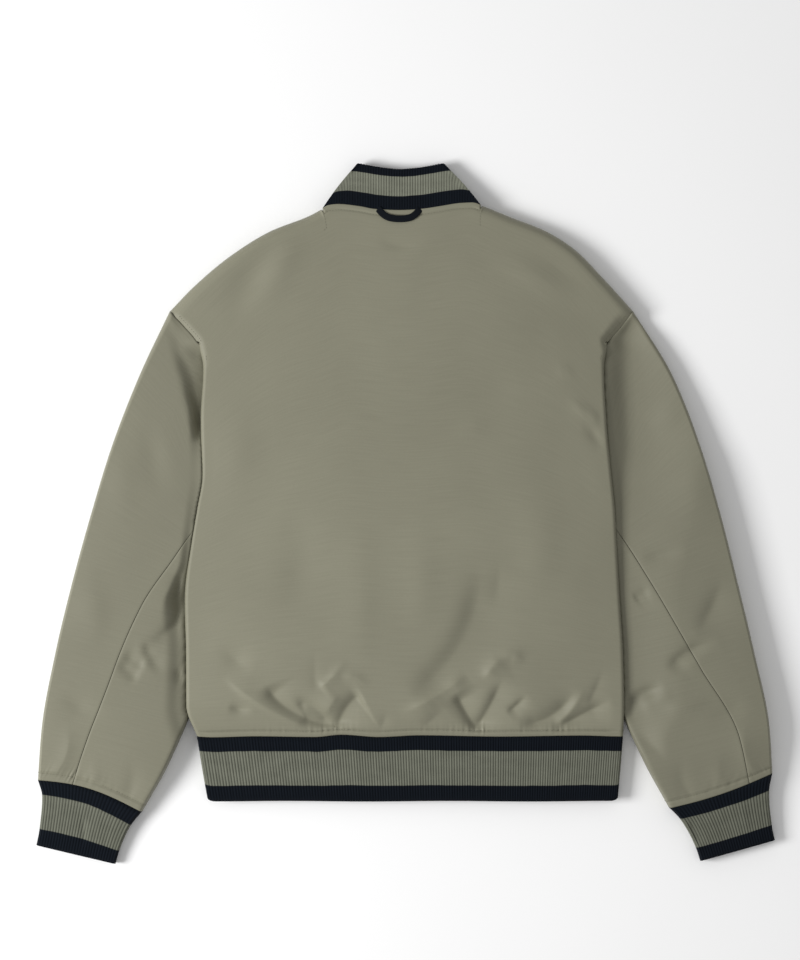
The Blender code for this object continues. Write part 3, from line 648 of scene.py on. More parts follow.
def woven(name, dark, light, roughness, gloss_range, slubs, unevenness, relief, sheen,
          specular=0.28):
    """A cloth material in the satin weave, from its darkest to its lightest colour."""
    material, tree, shader = dressed(name, {
        "Sheen Weight": sheen, "Sheen Roughness": 0.4, "Specular IOR Level": specular,
    })
    weave = grouped(tree, weave_tree, {"Slubs": slubs, "Unevenness": unevenness})
    colour = mixed(tree, weave.outputs["Shade"], dark, light)
    tree.links.new(colour, shader.inputs["Base Color"])
    gloss = maths(tree, "MULTIPLY", weave.outputs["Gloss"], gloss_range)
    gloss = maths(tree, "ADD", gloss, roughness - gloss_range / 2)
    tree.links.new(gloss, shader.inputs["Roughness"])
    raise_relief(tree, shader, weave.outputs["Height"], relief)
    return material


TWILL_DARK = (0.186, 0.180, 0.130)
TWILL_LIGHT = (0.243, 0.236, 0.173)
TWILL_LOOK = dict(roughness=0.56, gloss_range=0.12, slubs=0.45, unevenness=0.6, relief=0.00007,
                  sheen=0.05)
twill = woven("olive_twill", TWILL_DARK, TWILL_LIGHT, **TWILL_LOOK)

BACK_COLUMN = 2.05      # distance between the back's columns
NECK_COLUMN = 0.64      # and where the neck seam turns into the shoulder
BACK_STRIP = 10         # columns or rows over each rolled edge
left_end, right_end = SIDES["left"][-1], SIDES["right"][-1]
back_spread = graded(
    (left_end, NECK_LEFT_X - NECK_TURN, BACK_COLUMN),
    (NECK_LEFT_X - NECK_TURN, NECK_LEFT_X + NECK_TURN, NECK_COLUMN),
    (NECK_LEFT_X + NECK_TURN, NECK_RIGHT_X - NECK_TURN, BACK_COLUMN),
    (NECK_RIGHT_X - NECK_TURN, NECK_RIGHT_X + NECK_TURN, NECK_COLUMN),
    (NECK_RIGHT_X + NECK_TURN, right_end, BACK_COLUMN),
)
# Rows from the hem up: from, to and step, closest together at the gathered seam.
back_rise = graded((0, 10, 1.0), (10, 72, 1.4), (72, 110, 2.8), (110, 500, 7.2), (500, 600, 3.2))
back = back_grid(back_spread, back_rise, BACK_STRIP)

# The hem seam waves a little up and down across the back.
HEM_WAVE = table("x up", (
    (-243.6, 0), (-225, -1), (-174, 0.2), (-105, -0.6), (-74, 2.1), (-30, -0.6),
    (17.6, 1.4), (111, -0.1), (207, 1.1), (240, 0.2), (255, 0),
))
HEM_WAVE_REACH = 34.0
hem_wave = read(HEM_WAVE, back[..., 0], "up")
upper_side = np.ones(back.shape[1], bool)
upper_side[:BACK_STRIP] = upper_side[-BACK_STRIP:] = False


def waved(y):
    """How far the hem seam's wave moves the back's cloth up at height y."""
    return hem_wave * (1 - ease(y - HEM_SEAM_Y, 0, HEM_WAVE_REACH)) * upper_side


back[..., 1] += waved(back[..., 1])
back_piece = cloth("back_panel", back, SHELL_WALL, twill)
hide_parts("back")

# ------------------------------------------------------------
# The two fronts: the same cloth, flat on the table with the outside down. They are sewn to the
# back along the shoulders and sides, and lap at the centre, where the press studs hold them.
# ------------------------------------------------------------
SEAM_GAP = 0.5
FRONT_NECK_Y = 268.0
FRONT_OVERLAP = 18.0
FRONT_LIFT = 1.3
FRONT_LAP_RISE = 3.5
CLOSURE_HALF = 26.0
CLOSURE_RUNOUT = 30.0
LAP_HALF = 30.0
LAP_RUNOUT = 20.0
SHELF_WIDTH = 34.0
SHELF_RUNOUT = 95.0
UNDERARM_TOP_Y = 62.0
FRONT_STITCH_IN = 7.0
FRONT_FURROW = 0.6          # the fronts' stitches press out on the table by this share
OVERLAP_COLUMNS = 6         # columns from the centre to a front's edge
FRONT_NECK_COLUMNS = 30     # columns along a front's neck seam
# A front's creases start and are full this far from its hem seam, its edge and its side.
FRONT_SOFT_HEM, FRONT_SOFT_EDGE, FRONT_SOFT_SIDE = (1, 16), (34, 60), (24, 44)
FRONT_NECK = table("share across drop", (
    (0, 0, 1),
    (0.25, 0.4, 0.9),
    (0.5, 0.72, 0.66),
    (0.75, 0.92, 0.34),
    (1, 1, 0),
))
FRONT_ARMHOLE = table("y inward", (
    (20, 22),
    (60, 28),
    (110, 25),
    (160, 14),
    (200, 4),
    (220, 0),
    (236, 0),
))
ARMHOLE = table("share y", (
    (0, 20),
    (0.45, 112),
    (0.84, 195),
    (1, 236),
))
# Across from the centre outwards, so that one table serves both fronts.
FRONT_CREASES = table(CREASE_COLUMNS, (
    (80, -258, 92, -222, 120, -190, 2.4, 9, 7, 0, 0.6),
    (118, -258, 138, -228, 170, -214, 2, 8, 7, 0, 0.6),
    (176, -258, 186, -230, 184, -200, 1.8, 8, 8, 0, 0.7),
    (58, -258, 60, -232, 70, -216, 1.5, 6, 7, 0, 0.7),
    (110, -120, 128, -40, 120, 50, 1.5, 22, 18, 0.6, 0.6),
    (216, 40, 176, 96, 150, 150, 1.8, 10, 12, 0.5, 0.6),
    (210, 10, 184, 20, 150, 26, 1.5, 8, 9, 0.4, 0.6),
    (100, 318, 112, 270, 134, 226, 1.4, 10, 9, 0.4, 0.6),
))


def front_height(x, y, side):
    """How high a front's outside lies off the table: by a sleeve under it, or at the closure."""
    inward = np.abs(x - side_x(y, side))
    below_arm = 1 - ease(y, ARMHOLE["y"][0], UNDERARM_TOP_Y)
    on_sleeve = side_under(y) * below_arm * (1 - ease(inward, SHELF_WIDTH, SHELF_RUNOUT))
    closure = FRONT_LIFT * (1 - ease(np.abs(x), CLOSURE_HALF, CLOSURE_HALF + CLOSURE_RUNOUT))
    lapped = FRONT_LAP_RISE * (1 - ease(x, LAP_HALF, LAP_HALF + LAP_RUNOUT)) * (side > 0)
    return on_sleeve + closure + lapped


def front_side(y, side):
    """The side seam and, above the underarm, the armhole seam of a front."""
    inward = np.where(
        y < ARMHOLE["y"][0], SIDE_LAP, read(FRONT_ARMHOLE, y, "inward")
    )
    return side_x(y, side) - side * (inward + SEAM_GAP)


def front_grid(side, back, strip, every, neck, rise):
    """One front's outside, from its side and armhole seam to its edge past the centre."""
    top_edge = back[-1] if side < 0 else back[-1, ::-1]
    neck_end = np.abs(NECK_LEFT_X if side < 0 else NECK_RIGHT_X) + NECK_TURN
    on_shoulder = np.abs(top_edge[:, 0]) > neck_end - 0.01
    last = np.flatnonzero(on_shoulder[:len(on_shoulder) // 2])[-1]
    picked = np.unique(np.concatenate([[0], np.arange(strip, last, every), [last]]))
    shoulder = top_edge[picked]
    share = np.linspace(1, 0, neck)[1:]
    neck_across = read(FRONT_NECK, share, "across")
    neck_drop = read(FRONT_NECK, share, "drop")
    shoulder_y = shoulder[:, 1] - SEAM_GAP
    overlap = np.linspace(0, 1, OVERLAP_COLUMNS + 1)[1:]
    top_x = np.concatenate([
        shoulder[:, 0], shoulder[-1, 0] * neck_across, -side * FRONT_OVERLAP * overlap
    ])
    top_y = np.concatenate([
        shoulder_y, blend(shoulder_y[-1], FRONT_NECK_Y, neck_drop), FRONT_NECK_Y + 0 * overlap
    ])
    rise = rise[:, None]
    along = (top_x - top_x[0]) / (top_x[-1] - top_x[0])
    side_y = blend(HEM_SEAM_Y, top_y[0], rise)
    edge_x = front_side(side_y, side)
    edge_x = edge_x + (top_x[0] - front_side(top_y[0], side)) * rise**8
    hem_x = blend(edge_x[0], top_x[-1], along)
    shaped = edge_x - blend(edge_x[0], top_x[0], rise)
    x = blend(hem_x, top_x, rise) + shaped * (1 - along) ** 3
    y = blend(HEM_SEAM_Y, top_y, rise)
    above = y - HEM_SEAM_Y
    from_edge = np.abs(x + side * FRONT_OVERLAP)
    from_side = np.abs(x - side_x(y, side))
    soft = ease(above, *FRONT_SOFT_HEM) * ease(from_edge, *FRONT_SOFT_EDGE)
    soft = soft * ease(from_side, *FRONT_SOFT_SIDE)
    lifted = np.clip(creases(side * x, y, FRONT_CREASES), 0, None) * soft
    lifted = lifted + np.abs(gathers(x, above)) * soft
    stitched = -furrow(above, STITCH_IN) - furrow(from_edge, FRONT_STITCH_IN) * ease(above, 4, 8)
    return np.stack([x, y, front_height(x, y, side) + lifted + FRONT_FURROW * stitched], axis=-1)


front_rise = graded((0, 10, 1.2), (10, 100, 3.2), (100, 600, 5.4))
fronts = {}
for side, word in ((-1, "left"), (1, "right")):
    fronts[side] = front_grid(side, back, BACK_STRIP, 2, FRONT_NECK_COLUMNS, front_rise)
    piece = cloth("front_panel_" + word, fronts[side], SHELL_WALL, twill, flipped=side < 0)
    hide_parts("front_" + word)

# ------------------------------------------------------------
# The sleeves: each is cut in two halves, an upper and an under one, from the same cloth. They are
# sewn together along two lengthwise seams, and their tops are sewn into the armholes.
# ------------------------------------------------------------
SLEEVE_ROLL = 4.0
SLEEVE_INNER_ROLL = 3.4
SLEEVE_MIDDLE = 11.0
SLEEVE_INNER_MIDDLE = 6.0
SLEEVE_FALL = 0.05
SLEEVE_LENGTH = 480.0
LAYER_GAP = 0.4
SEPARATION_Y = -252.0
SEPARATED_Y = -288.0
ARMHOLE_REACH = 0.4
ARMHOLE_GAP = 0.2
LONG_SEAM_HALF = 0.2        # half the gap between the two halves
LONG_SEAM_DIP = 0.4
LONG_SEAM_SPREAD = 1.2
LONG_SEAM_STEPS = np.array([0.0, 0.7, 1.4, 2.2, 3.2, 4.6])     # a half's first columns at its seam
FLAT_SHARES = 1 - np.linspace(1, 0, 76) ** 1.3      # columns closer together towards the outer edge
INNER_SHARES = np.linspace(0, 1, 30)
UNDER_SHARES = np.linspace(0, 1, 22)
OUTER_ROLL_COLUMNS, INNER_ROLL_COLUMNS = 19, 15
CUFF_STITCH_IN = 7.0
CUFF_GAP = 0.5              # between a sleeve's end and its cuff
CREASES_FROM_BODY = 1, 9    # a sleeve's creases start and are full this far from the body,
CREASES_FROM_CUFF = 1, 12   # and from its cuff
SLEEVE_COLUMNS = "share outer_x outer_y inner_x inner_y height back_seam front_seam"
SLEEVE_LEFT = table(SLEEVE_COLUMNS, (
    (0, -275, 236, -219, 20, 23, 0.08, 0.1),
    (0.15, -310, 162, -219.5, -2, 27, 0.1, 0.14),
    (0.3, -342, 80, -221, -30, 30, 0.17, 0.2),
    (0.45, -367.5, -3, -225, -70, 31, 0.3, 0.27),
    (0.6, -390, -85, -231, -130, 31, 0.48, 0.33),
    (0.75, -409, -165, -241.5, -203, 31, 0.58, 0.38),
    (0.9, -424.5, -250, -275.5, -291, 29, 0.63, 0.41),
    (1, -429.4, -311.8, -307.7, -349.2, 20, 0.66, 0.42),
))
SLEEVE_RIGHT = table(SLEEVE_COLUMNS, (
    (0, 266.5, 236, 221, 20, 21, 0.08, 0.1),
    (0.15, 312, 162, 220.5, -2, 23.5, 0.1, 0.14),
    (0.3, 344.5, 80, 221, -30, 25.5, 0.17, 0.2),
    (0.45, 369, -3, 224, -70, 27.5, 0.3, 0.27),
    (0.6, 389.5, -85, 230, -130, 27.5, 0.46, 0.33),
    (0.75, 408.5, -165, 242.5, -203, 28, 0.61, 0.38),
    (0.9, 425.5, -248, 278.5, -289, 29, 0.75, 0.41),
    (1, 429.4, -303.6, 308.9, -344.6, 20, 0.77, 0.42),
))
# Each sleeve dips beside the body. edge is its height where it comes out from under the body's
# side, start how far out its dip is deepest, bottom its height there, and end where it is full.
VALLEY_COLUMNS = "y start end edge bottom"
VALLEY_LEFT = table(VALLEY_COLUMNS, (
    (-260, 8, 28, 21, 23),
    (-218, 6, 24, 23, 25.5),
    (-150, 5, 22, 23.5, 25.5),
    (-120, 7, 26, 17, 22),
    (-101, 8, 24, 12.5, 19),
    (-80, 5, 16, 20, 23),
    (-54, 0.5, 10, 26, 26),
    (-8, 0.5, 12, 27.5, 27.5),
    (39, 0.5, 14, 27, 27),
    (80, 0.5, 14, 24, 24),
    (94, 0.5, 13, 17, 17),
    (108, 1, 14, 13, 13),
    (121, 2.5, 16, 13, 13.5),
    (139, 7, 22, 13.5, 15),
    (156, 11, 27, 14, 16.5),
    (173, 17, 33, 15.5, 18),
    (191, 22, 34.5, 18, 21.5),
    (209, 19, 33, 20, 22),
    (220, 12, 27, 21, 22.5),
    (236, 1, 30, 23, 23),
))
VALLEY_RIGHT = table(VALLEY_COLUMNS, (
    (-260, 14, 50, 20, 20.5),
    (-218, 5, 70, 20.5, 20),
    (-160, 4, 70, 21, 20.5),
    (-101, 4, 70, 21, 21),
    (-54, 5, 80, 20.5, 20),
    (-8, 7, 90, 20.5, 19),
    (39, 14, 104, 20.5, 16.5),
    (86, 25, 120, 21, 12.5),
    (121, 26, 120, 21.5, 11.5),
    (156, 26, 108, 22, 11),
    (180, 26, 90, 21, 11),
    (198, 20, 72, 16.5, 10),
    (208, 14, 60, 14, 9.5),
    (222, 9, 44, 15.5, 12),
    (236, 1, 30, 23, 23),
))
TUCK_IN, TUCK_OUT = -2.6, -0.4      # a sleeve drops just under the body's edge to pass below it
LEFT_CREASES = table(CREASE_COLUMNS, (
    (-262, -62, -264, -96, -257, -130, -4, 7, 6, 0.4, 0.3),
    (-258, -100, -272, -132, -302, -149, -4, 12, 5, 0.2, 0.45),
    (-301, -147, -297, -168, -279, -188, -3.4, 11, 4.5, 0.3, 0.4),
    (-263, -176, -261, -190, -255, -204, -3.6, 6, 5, 0.4, 0.4),
    (-334, -172, -322, -185, -310, -194, -2.8, 10, 3.8, 0.3, 0.3),
    (-329, -163, -316, -172, -302, -179, -2.6, 8, 3, 0.3, 0.3),
    (-312, -140, -300, -168, -280, -196, 2, 9, 9, 0.5, 0.5),
    (-352, 96, -330, 40, -336, -30, 1.6, 18, 22, 0.6, 0.6),
    (-300, 120, -292, 60, -276, 10, -1.6, 14, 14, 0.5, 0.6),
    (-380, -60, -362, -110, -372, -170, 1.6, 15, 20, 0.6, 0.6),
    (-402, -206, -376, -226, -340, -232, -1.8, 9, 12, 0.5, 0.6),
    (-405, -300, -392, -270, -398, -240, 1.8, 10, 9, 0, 0.7),
    (-330, -338, -318, -310, -324, -280, -1.7, 8, 10, 0, 0.7),
    (-368, -326, -362, -304, -366, -276, 1.4, 9, 9, 0, 0.7),
))
RIGHT_CREASES = table(CREASE_COLUMNS, (
    (306, -184, 326, -163, 366, -145, -4.8, 4.2, 13, 0.35, 0.4),
    (316, -186, 338, -171, 364, -158, 2, 7, 9, 0.4, 0.5),
    (260, -221, 279, -209, 303, -200, -5.4, 4.6, 13, 0, 0.4),
    (272, -226, 292, -217, 314, -208, 2.2, 7, 8, 0.3, 0.5),
    (266, -99, 275, -93, 287, -88, -2.2, 3.2, 9, 0.2, 0.4),
    (275, -52, 300, -48, 328, -42, -2.4, 7, 9, 0.4, 0.5),
    (284, 95, 308, 116, 330, 140, 1.7, 14, 14, 0.5, 0.5),
    (300, -226, 326, -224, 358, -218, 2.4, 5, 7, 0.4, 0.5),
    (372, -72, 356, -112, 337, -142, -3, 12, 9, 0.5, 0.4),
    (352, 90, 340, 30, 348, -40, 1.5, 20, 18, 0.6, 0.6),
    (382, -60, 366, -112, 380, -172, -1.6, 18, 16, 0.6, 0.6),
    (402, -210, 376, -232, 344, -240, -1.8, 10, 12, 0.5, 0.6),
    (404, -296, 394, -268, 400, -236, 1.8, 9, 10, 0, 0.7),
    (336, -334, 322, -306, 328, -276, -1.7, 10, 8, 0, 0.7),
    (372, -320, 364, -298, 370, -272, 1.4, 9, 9, 0, 0.7),
))
CUFF_BOW = {-1: 8.8, 1: -3.8}       # how far each cuff seam bows up between the sleeve's edges
CUFF_BOW_FROM = 0.8
CUFF_GATHER = 1.0       # how deep the puckers above a cuff are


def sleeve_point(rows, side, share, across, upper, relief=None):
    """A point on a laid sleeve or cuff.

    share runs along it from its first section, across from its inner edge (0) to its outer edge,
    and upper is true on the side that lies uppermost. relief adds height by place.
    """
    outer_x = read(rows, share, "outer_x")
    outer_y = read(rows, share, "outer_y")
    inner_x = read(rows, share, "inner_x")
    inner_y = read(rows, share, "inner_y")
    x = blend(inner_x, outer_x, across)
    near_cuff = ease(share, CUFF_BOW_FROM, 1) if "back_seam" in rows else 1 - share
    y = blend(inner_y, outer_y, across) + CUFF_BOW[side] * near_cuff * np.sin(np.pi * across)
    if "back_seam" in rows:
        near = (1 - np.clip(share / ARMHOLE_REACH, 0, 1)) ** 2
        hole_y = read(ARMHOLE, across, "y")
        back_in, _ = side_strip(1.0, hole_y, body_height(0, hole_y))
        front_in = read(FRONT_ARMHOLE, hole_y, "inward")
        hole_x = side_x(hole_y, side) - side * np.where(upper, back_in, front_in)
        chord_x = blend(rows["inner_x"][0], rows["outer_x"][0], across)
        chord_y = blend(rows["inner_y"][0], rows["outer_y"][0], across)
        x = x + near * (hole_x + side * ARMHOLE_GAP - chord_x)
        y = y + near * (hole_y - chord_y)

    width = np.hypot(outer_x - inner_x, outer_y - inner_y)
    full = quarter(across * width, SLEEVE_INNER_ROLL) * quarter((1 - across) * width, SLEEVE_ROLL)
    height = read(rows, share, "height")
    outer_middle = np.minimum(SLEEVE_MIDDLE, height / 2)
    inner_middle = np.minimum(SLEEVE_INNER_MIDDLE, height / 2)
    edge = blend(inner_middle, outer_middle, across)
    crown = height * (1 - SLEEVE_FALL * np.abs(2 * across - 1) ** 3)
    beside = side * (x - side_x(y, side))
    separate = 1 - ease(y, SEPARATED_Y, SEPARATION_Y)
    dip = VALLEY_LEFT if side < 0 else VALLEY_RIGHT
    start, end, emerging, bottom = (
        read(dip, y, name) for name in ("start", "end", "edge", "bottom")
    )
    rolled = 1 - ease(y, ROLL_LOW_Y, ROLL_HIGH_Y)
    seam_top = body_height(0, y) - shoulder_fall(side_x(y, side), y)
    _, seam_z = side_strip(1.0, y, seam_top)
    emerging = blend(seam_z, emerging, rolled)
    tucked = blend(seam_z - LAYER_GAP * rolled, emerging, ease(beside, TUCK_IN, TUCK_OUT))
    base = blend(tucked, bottom, ease(beside, 0, start))
    clear = np.maximum(ease(beside, start, end), separate)
    top = blend(base, crown, clear)
    if relief is not None:
        top = top + relief(x, y) * np.maximum(ease(beside, *CREASES_FROM_BODY), separate) * upper
    z = np.where(upper, edge + (top - edge) * full, edge * (1 - full))
    return np.stack([x, y, z], axis=-1)


def sleeve_grid(rows, side, outer_piece, shares, rows_of_creases):
    """One half of a sleeve, from its back seam round an edge to its front seam."""
    shares = shares[:, None]
    column = {name: read(rows, shares, name) for name in rows}
    reach_x = column["outer_x"] - column["inner_x"]
    reach_y = column["outer_y"] - column["inner_y"]
    width = np.hypot(reach_x, reach_y)
    gap = LONG_SEAM_HALF / width
    roll = SLEEVE_ROLL if outer_piece else SLEEVE_INNER_ROLL
    angle = np.linspace(0, np.pi, OUTER_ROLL_COLUMNS if outer_piece else INNER_ROLL_COLUMNS)
    rolled = roll * (1 - np.sin(angle)) / width
    at_seam = LONG_SEAM_STEPS / width
    if outer_piece:
        rolled = 1 - rolled
        end = column["front_seam"] + gap
        flank = column["back_seam"] + gap + at_seam
        spaced = FLAT_SHARES
    else:
        end = column["front_seam"] - gap
        flank = column["back_seam"] - gap - at_seam
        spaced = INNER_SHARES
    before = np.concatenate([flank, blend(flank[:, -1:], rolled[:, :1], spaced)[:, 1:-1]], axis=1)
    after = blend(rolled[:, -1:], end, UNDER_SHARES)[:, 1:]
    across = np.concatenate([before, rolled, after], axis=1)
    upper = np.arange(across.shape[1]) <= before.shape[1] + len(angle) // 2

    def relief(x, y):
        from_cuff = (1 - shares) * SLEEVE_LENGTH + 0 * x
        seam_away = np.abs(across - column["back_seam"]) * width
        high = creases(x, y, rows_of_creases) * ease(from_cuff, *CREASES_FROM_CUFF)
        high = high + gathers(across * width, from_cuff) * CUFF_GATHER
        high = high + furrow(from_cuff, CUFF_STITCH_IN)
        high = high - LONG_SEAM_DIP * np.exp(-((seam_away / LONG_SEAM_SPREAD) ** 2))
        return high

    return sleeve_point(rows, side, shares + 0 * across, across, upper, relief), across


sleeve_shares = graded((0, 16, 1.6), (16, 462, 3.6), (462, SLEEVE_LENGTH, 1.2))
sleeve_shares = sleeve_shares * (1 - CUFF_GAP / SLEEVE_LENGTH)
CUFF_WIDTH = 127.0      # of a sleeve's lower end, laid flat
sleeve_halves = {}
# The sleeves are cut with their grain turned; their twill is painted a shade darker than the
# body's, as painted shade for how the turned grain takes the light.
SLEEVE_PAINTED_SHADE = 0.93
sleeve_painted_shade_tones = [tuple(c * SLEEVE_PAINTED_SHADE for c in tone) for tone in (TWILL_DARK, TWILL_LIGHT)]
sleeve_twill_painted_shade = woven("olive_twill_painted_shade", *sleeve_painted_shade_tones, **TWILL_LOOK)
for side, word in ((-1, "left"), (1, "right")):
    sections = SLEEVE_LEFT if side < 0 else SLEEVE_RIGHT
    marks = LEFT_CREASES if side < 0 else RIGHT_CREASES
    for half, flat, cut in (("upper", (0.32, 0.57), 0.128), ("under", (0.17, 0.47), 0.06)):
        outer_piece = half == "upper"
        grid, across = sleeve_grid(sections, side, outer_piece, sleeve_shares, marks)
        from_cuff = np.broadcast_to((1 - sleeve_shares[:, None]) * SLEEVE_LENGTH, across.shape)
        seams = (sections["back_seam"][-1], sections["front_seam"][-1])
        seam_away = np.minimum(*(np.abs(across - seam) for seam in seams)) * CUFF_WIDTH
        sleeve_halves[f"{half}_{word}"] = grid, from_cuff, seam_away
        name = f"sleeve_{half}_{word}"
        piece = cloth(f"sleeve_{half}_panel_{word}", grid, SHELL_WALL, sleeve_twill_painted_shade,
                      flipped=(side > 0) == outer_piece)
        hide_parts(name)

# ------------------------------------------------------------
# The hem rib: a doubled band of rib knit, knitted in one with its two navy stripes. It runs from
# one front's edge round the back to the other, and is stretched onto the cloth as it is sewn on.
# ------------------------------------------------------------
RIB_WALL = 2.6
RIB_DEPTH = 0.9            # height of a rib above the groove beside it
RIB_POINTS = 5              # points across one rib
RIB_UNEVEN = 0.12           # ribs differ in height by this share up and down
RIB_SHAPE = 0.6             # below 1, ribs are broad and the grooves between them narrow
RIB_AT_EDGE, RIB_EDGE = 0.35, 0.02      # ribs are this share of their height at a band's edges
BAND_STRIPES = 0.222, 0.755     # where the olive begins and ends, as shares down the band
# Each colour runs from its groove tone up to its crest tone by the ribs' height: the grooves are
# painted darker, as painted shade between the ribs.
RIB_OLIVE = (0.178, 0.184, 0.145)
RIB_GROOVE_PAINTED_SHADE = (0.062, 0.065, 0.050)
NAVY = (0.0048, 0.0072, 0.0112)
NAVY_GROOVE_PAINTED_SHADE = (0.0022, 0.0034, 0.0056)

knit_tree, knit_in, knit_out = group(
    "rib_knit",
    [("Weave", "NodeSocketVector"), ("Rib", "NodeSocketFloat"), ("Top stripe", "NodeSocketFloat"),
     ("Low stripe", "NodeSocketFloat"), ("Wander", "NodeSocketFloat")],
    ["Shade", "Navy", "Height"],
)
split = knit_tree.nodes.new("ShaderNodeSeparateXYZ")
knit_tree.links.new(knit_in.outputs["Weave"], split.inputs[0])
courses = stretched_noise(knit_tree, knit_in.outputs["Weave"], 900.0, 60.0)
yarn = stretched_noise(knit_tree, knit_in.outputs["Weave"], 40.0, 6.0)
drift = about_zero(knit_tree, yarn, knit_in.outputs["Wander"])
place = maths(knit_tree, "ADD", split.outputs["Y"], drift)
STRIPE_EDGE = 90.0      # how sharply a stripe ends
past_top = maths(knit_tree, "SUBTRACT", place, knit_in.outputs["Top stripe"])
past_low = maths(knit_tree, "SUBTRACT", knit_in.outputs["Low stripe"], place)
past_top, past_low = (maths(knit_tree, "MULTIPLY", p, STRIPE_EDGE) for p in (past_top, past_low))
olive_band = maths(knit_tree, "ADD", maths(knit_tree, "MINIMUM", past_top, past_low), 0.5)
clamp = knit_tree.nodes.new("ShaderNodeClamp")
knit_tree.links.new(olive_band, clamp.inputs["Value"])
knit_tree.links.new(maths(knit_tree, "SUBTRACT", 1.0, clamp.outputs[0]), knit_out.inputs["Navy"])
# The shade mixes the ribs' height, which paints the grooves darker as painted shade, with the
# yarn's own mottle.
mottle, slow_mottle = about_zero(knit_tree, courses, 0.5), about_zero(knit_tree, yarn, 0.35)
mottle = maths(knit_tree, "ADD", mottle, slow_mottle)
shade = maths(knit_tree, "ADD", knit_in.outputs["Rib"], mottle)
knit_tree.links.new(shade, knit_out.inputs["Shade"])
knit_tree.links.new(courses, knit_out.inputs["Height"])


def rib_material(name, stripe_top, stripe_low, wander=0.02, painted_brightness=1.0):
    """Rib knit, striped along its height: v of the weave map is the share down the band. Its
    grooves are painted darker than its crests, as painted shade, and its last setting scales the
    olive's tones: above 1 it paints light into them, below 1 shade.
    """
    material, tree, shader = dressed(name, {
        "Roughness": 0.9, "Sheen Weight": 0.03, "Sheen Roughness": 0.5, "Specular IOR Level": 0.08,
    })
    knit = grouped(tree, knit_tree, {
        "Top stripe": stripe_top, "Low stripe": stripe_low, "Wander": wander,
    })
    # The ribs' stored height sets how far each point's colour is painted towards the grooves'
    # painted shade.
    height = tree.nodes.new("ShaderNodeAttribute")
    height.attribute_name = "rib"
    tree.links.new(height.outputs["Fac"], knit.inputs["Rib"])
    # A band whose olive is scaled up carries painted light, and one scaled down carries painted
    # shade.
    groove, olive_top = (tuple(c * painted_brightness for c in tone) for tone in (RIB_GROOVE_PAINTED_SHADE, RIB_OLIVE))
    olive = mixed(tree, knit.outputs["Shade"], groove, olive_top)
    navy = mixed(tree, knit.outputs["Shade"], NAVY_GROOVE_PAINTED_SHADE, NAVY)
    both = mixed(tree, knit.outputs["Navy"], olive, navy)
    tree.links.new(both, shader.inputs["Base Color"])
    raise_relief(tree, shader, knit.outputs["Height"], 0.0002)
    return material


def rib_profile(phase):
    """Height, 0 to 1, of rounded ribs with narrow grooves between them: one rib a whole phase."""
    whole = np.floor(phase)
    uneven = 1 - RIB_UNEVEN + RIB_UNEVEN * np.sin(whole * 2.4) * np.sin(whole * 0.77 + 1.0)
    return uneven * np.abs(np.sin(np.pi * phase)) ** RIB_SHAPE


def ribbed(name, grid, phase, shares, material, flipped=False, round_about=False, depth=RIB_DEPTH):
    """A band of rib knit: the grid's outside rises and falls by the ribs across its columns."""
    if round_about:
        closed = np.concatenate([grid[:, -1:], grid, grid[:, :1]], axis=1)
        across = np.gradient(closed, axis=1)[:, 1:-1]
    else:
        across = np.gradient(grid, axis=1)
    along = np.gradient(grid, axis=0)
    normal = np.cross(across, along)
    normal = normal / np.maximum(np.linalg.norm(normal, axis=-1, keepdims=True), 1e-9)
    normal = -normal if flipped else normal
    high = rib_profile(phase) + 0 * shares[:, None]
    edges = ease(np.minimum(shares, 1 - shares)[:, None], 0, RIB_EDGE)
    strength = RIB_AT_EDGE + (1 - RIB_AT_EDGE) * edges
    raised = grid + normal * ((high - 1) * depth * strength)[..., None]
    lay = lay_out(grid)
    lay = np.stack(np.broadcast_arrays(lay[..., 0], (shares / MM)[:, None]), axis=-1)
    piece = cloth(name, raised, RIB_WALL, material, flipped, round_about, lay)
    # The ribs' height is kept for the knit's colour, which paints shade into the grooves.
    rib = piece.data.attributes.new("rib", "FLOAT", "POINT")
    rib.data.foreach_set("value", high.reshape(-1).astype(np.float32))
    return piece


def steps_along(line):
    """The distances between a line's neighbouring points."""
    return np.linalg.norm(np.diff(line, axis=0), axis=1)


def run_along(line):
    """The distance along a line at each of its points."""
    return np.concatenate([[0], np.cumsum(steps_along(line))])


def resample(line, places):
    """The line of points drawn again at the given distances along it."""
    return np.stack([np.interp(places, run_along(line), part) for part in line.T], axis=1)


def resample_to(line, count):
    """The line of points drawn again with this many points in even steps."""
    return resample(line, np.linspace(0, steps_along(line).sum(), count))


def evenly(line, step):
    """The line of points drawn again in even steps of about this size."""
    return resample_to(line, max(2, round(steps_along(line).sum() / step)))


HEM_EDGE_Y = -336.1
HEM_EDGE_LEFT_X = -231.7
HEM_EDGE_RIGHT_X = 249.2
HEM_EDGE_FLATTENING = 0.8
HEM_FLAT_Z = 5.0
HEM_GAP = 0.6
HEM_RIB_PERIOD = table("x period", (
    (-244, 3.5),
    (0, 3.2),
    (255, 2.75),
))
HEM_ROW_COUNT = 12
HEM_FINE_STEPS = 24000      # steps in which the ribs are spaced along the band
HEM_EDGE_WAVE, HEM_EDGE_WAVE_LENGTH = 0.35, 31.0
HEM_CORNER = 5.0
HEM_CORNER_WIDTH = 11.0


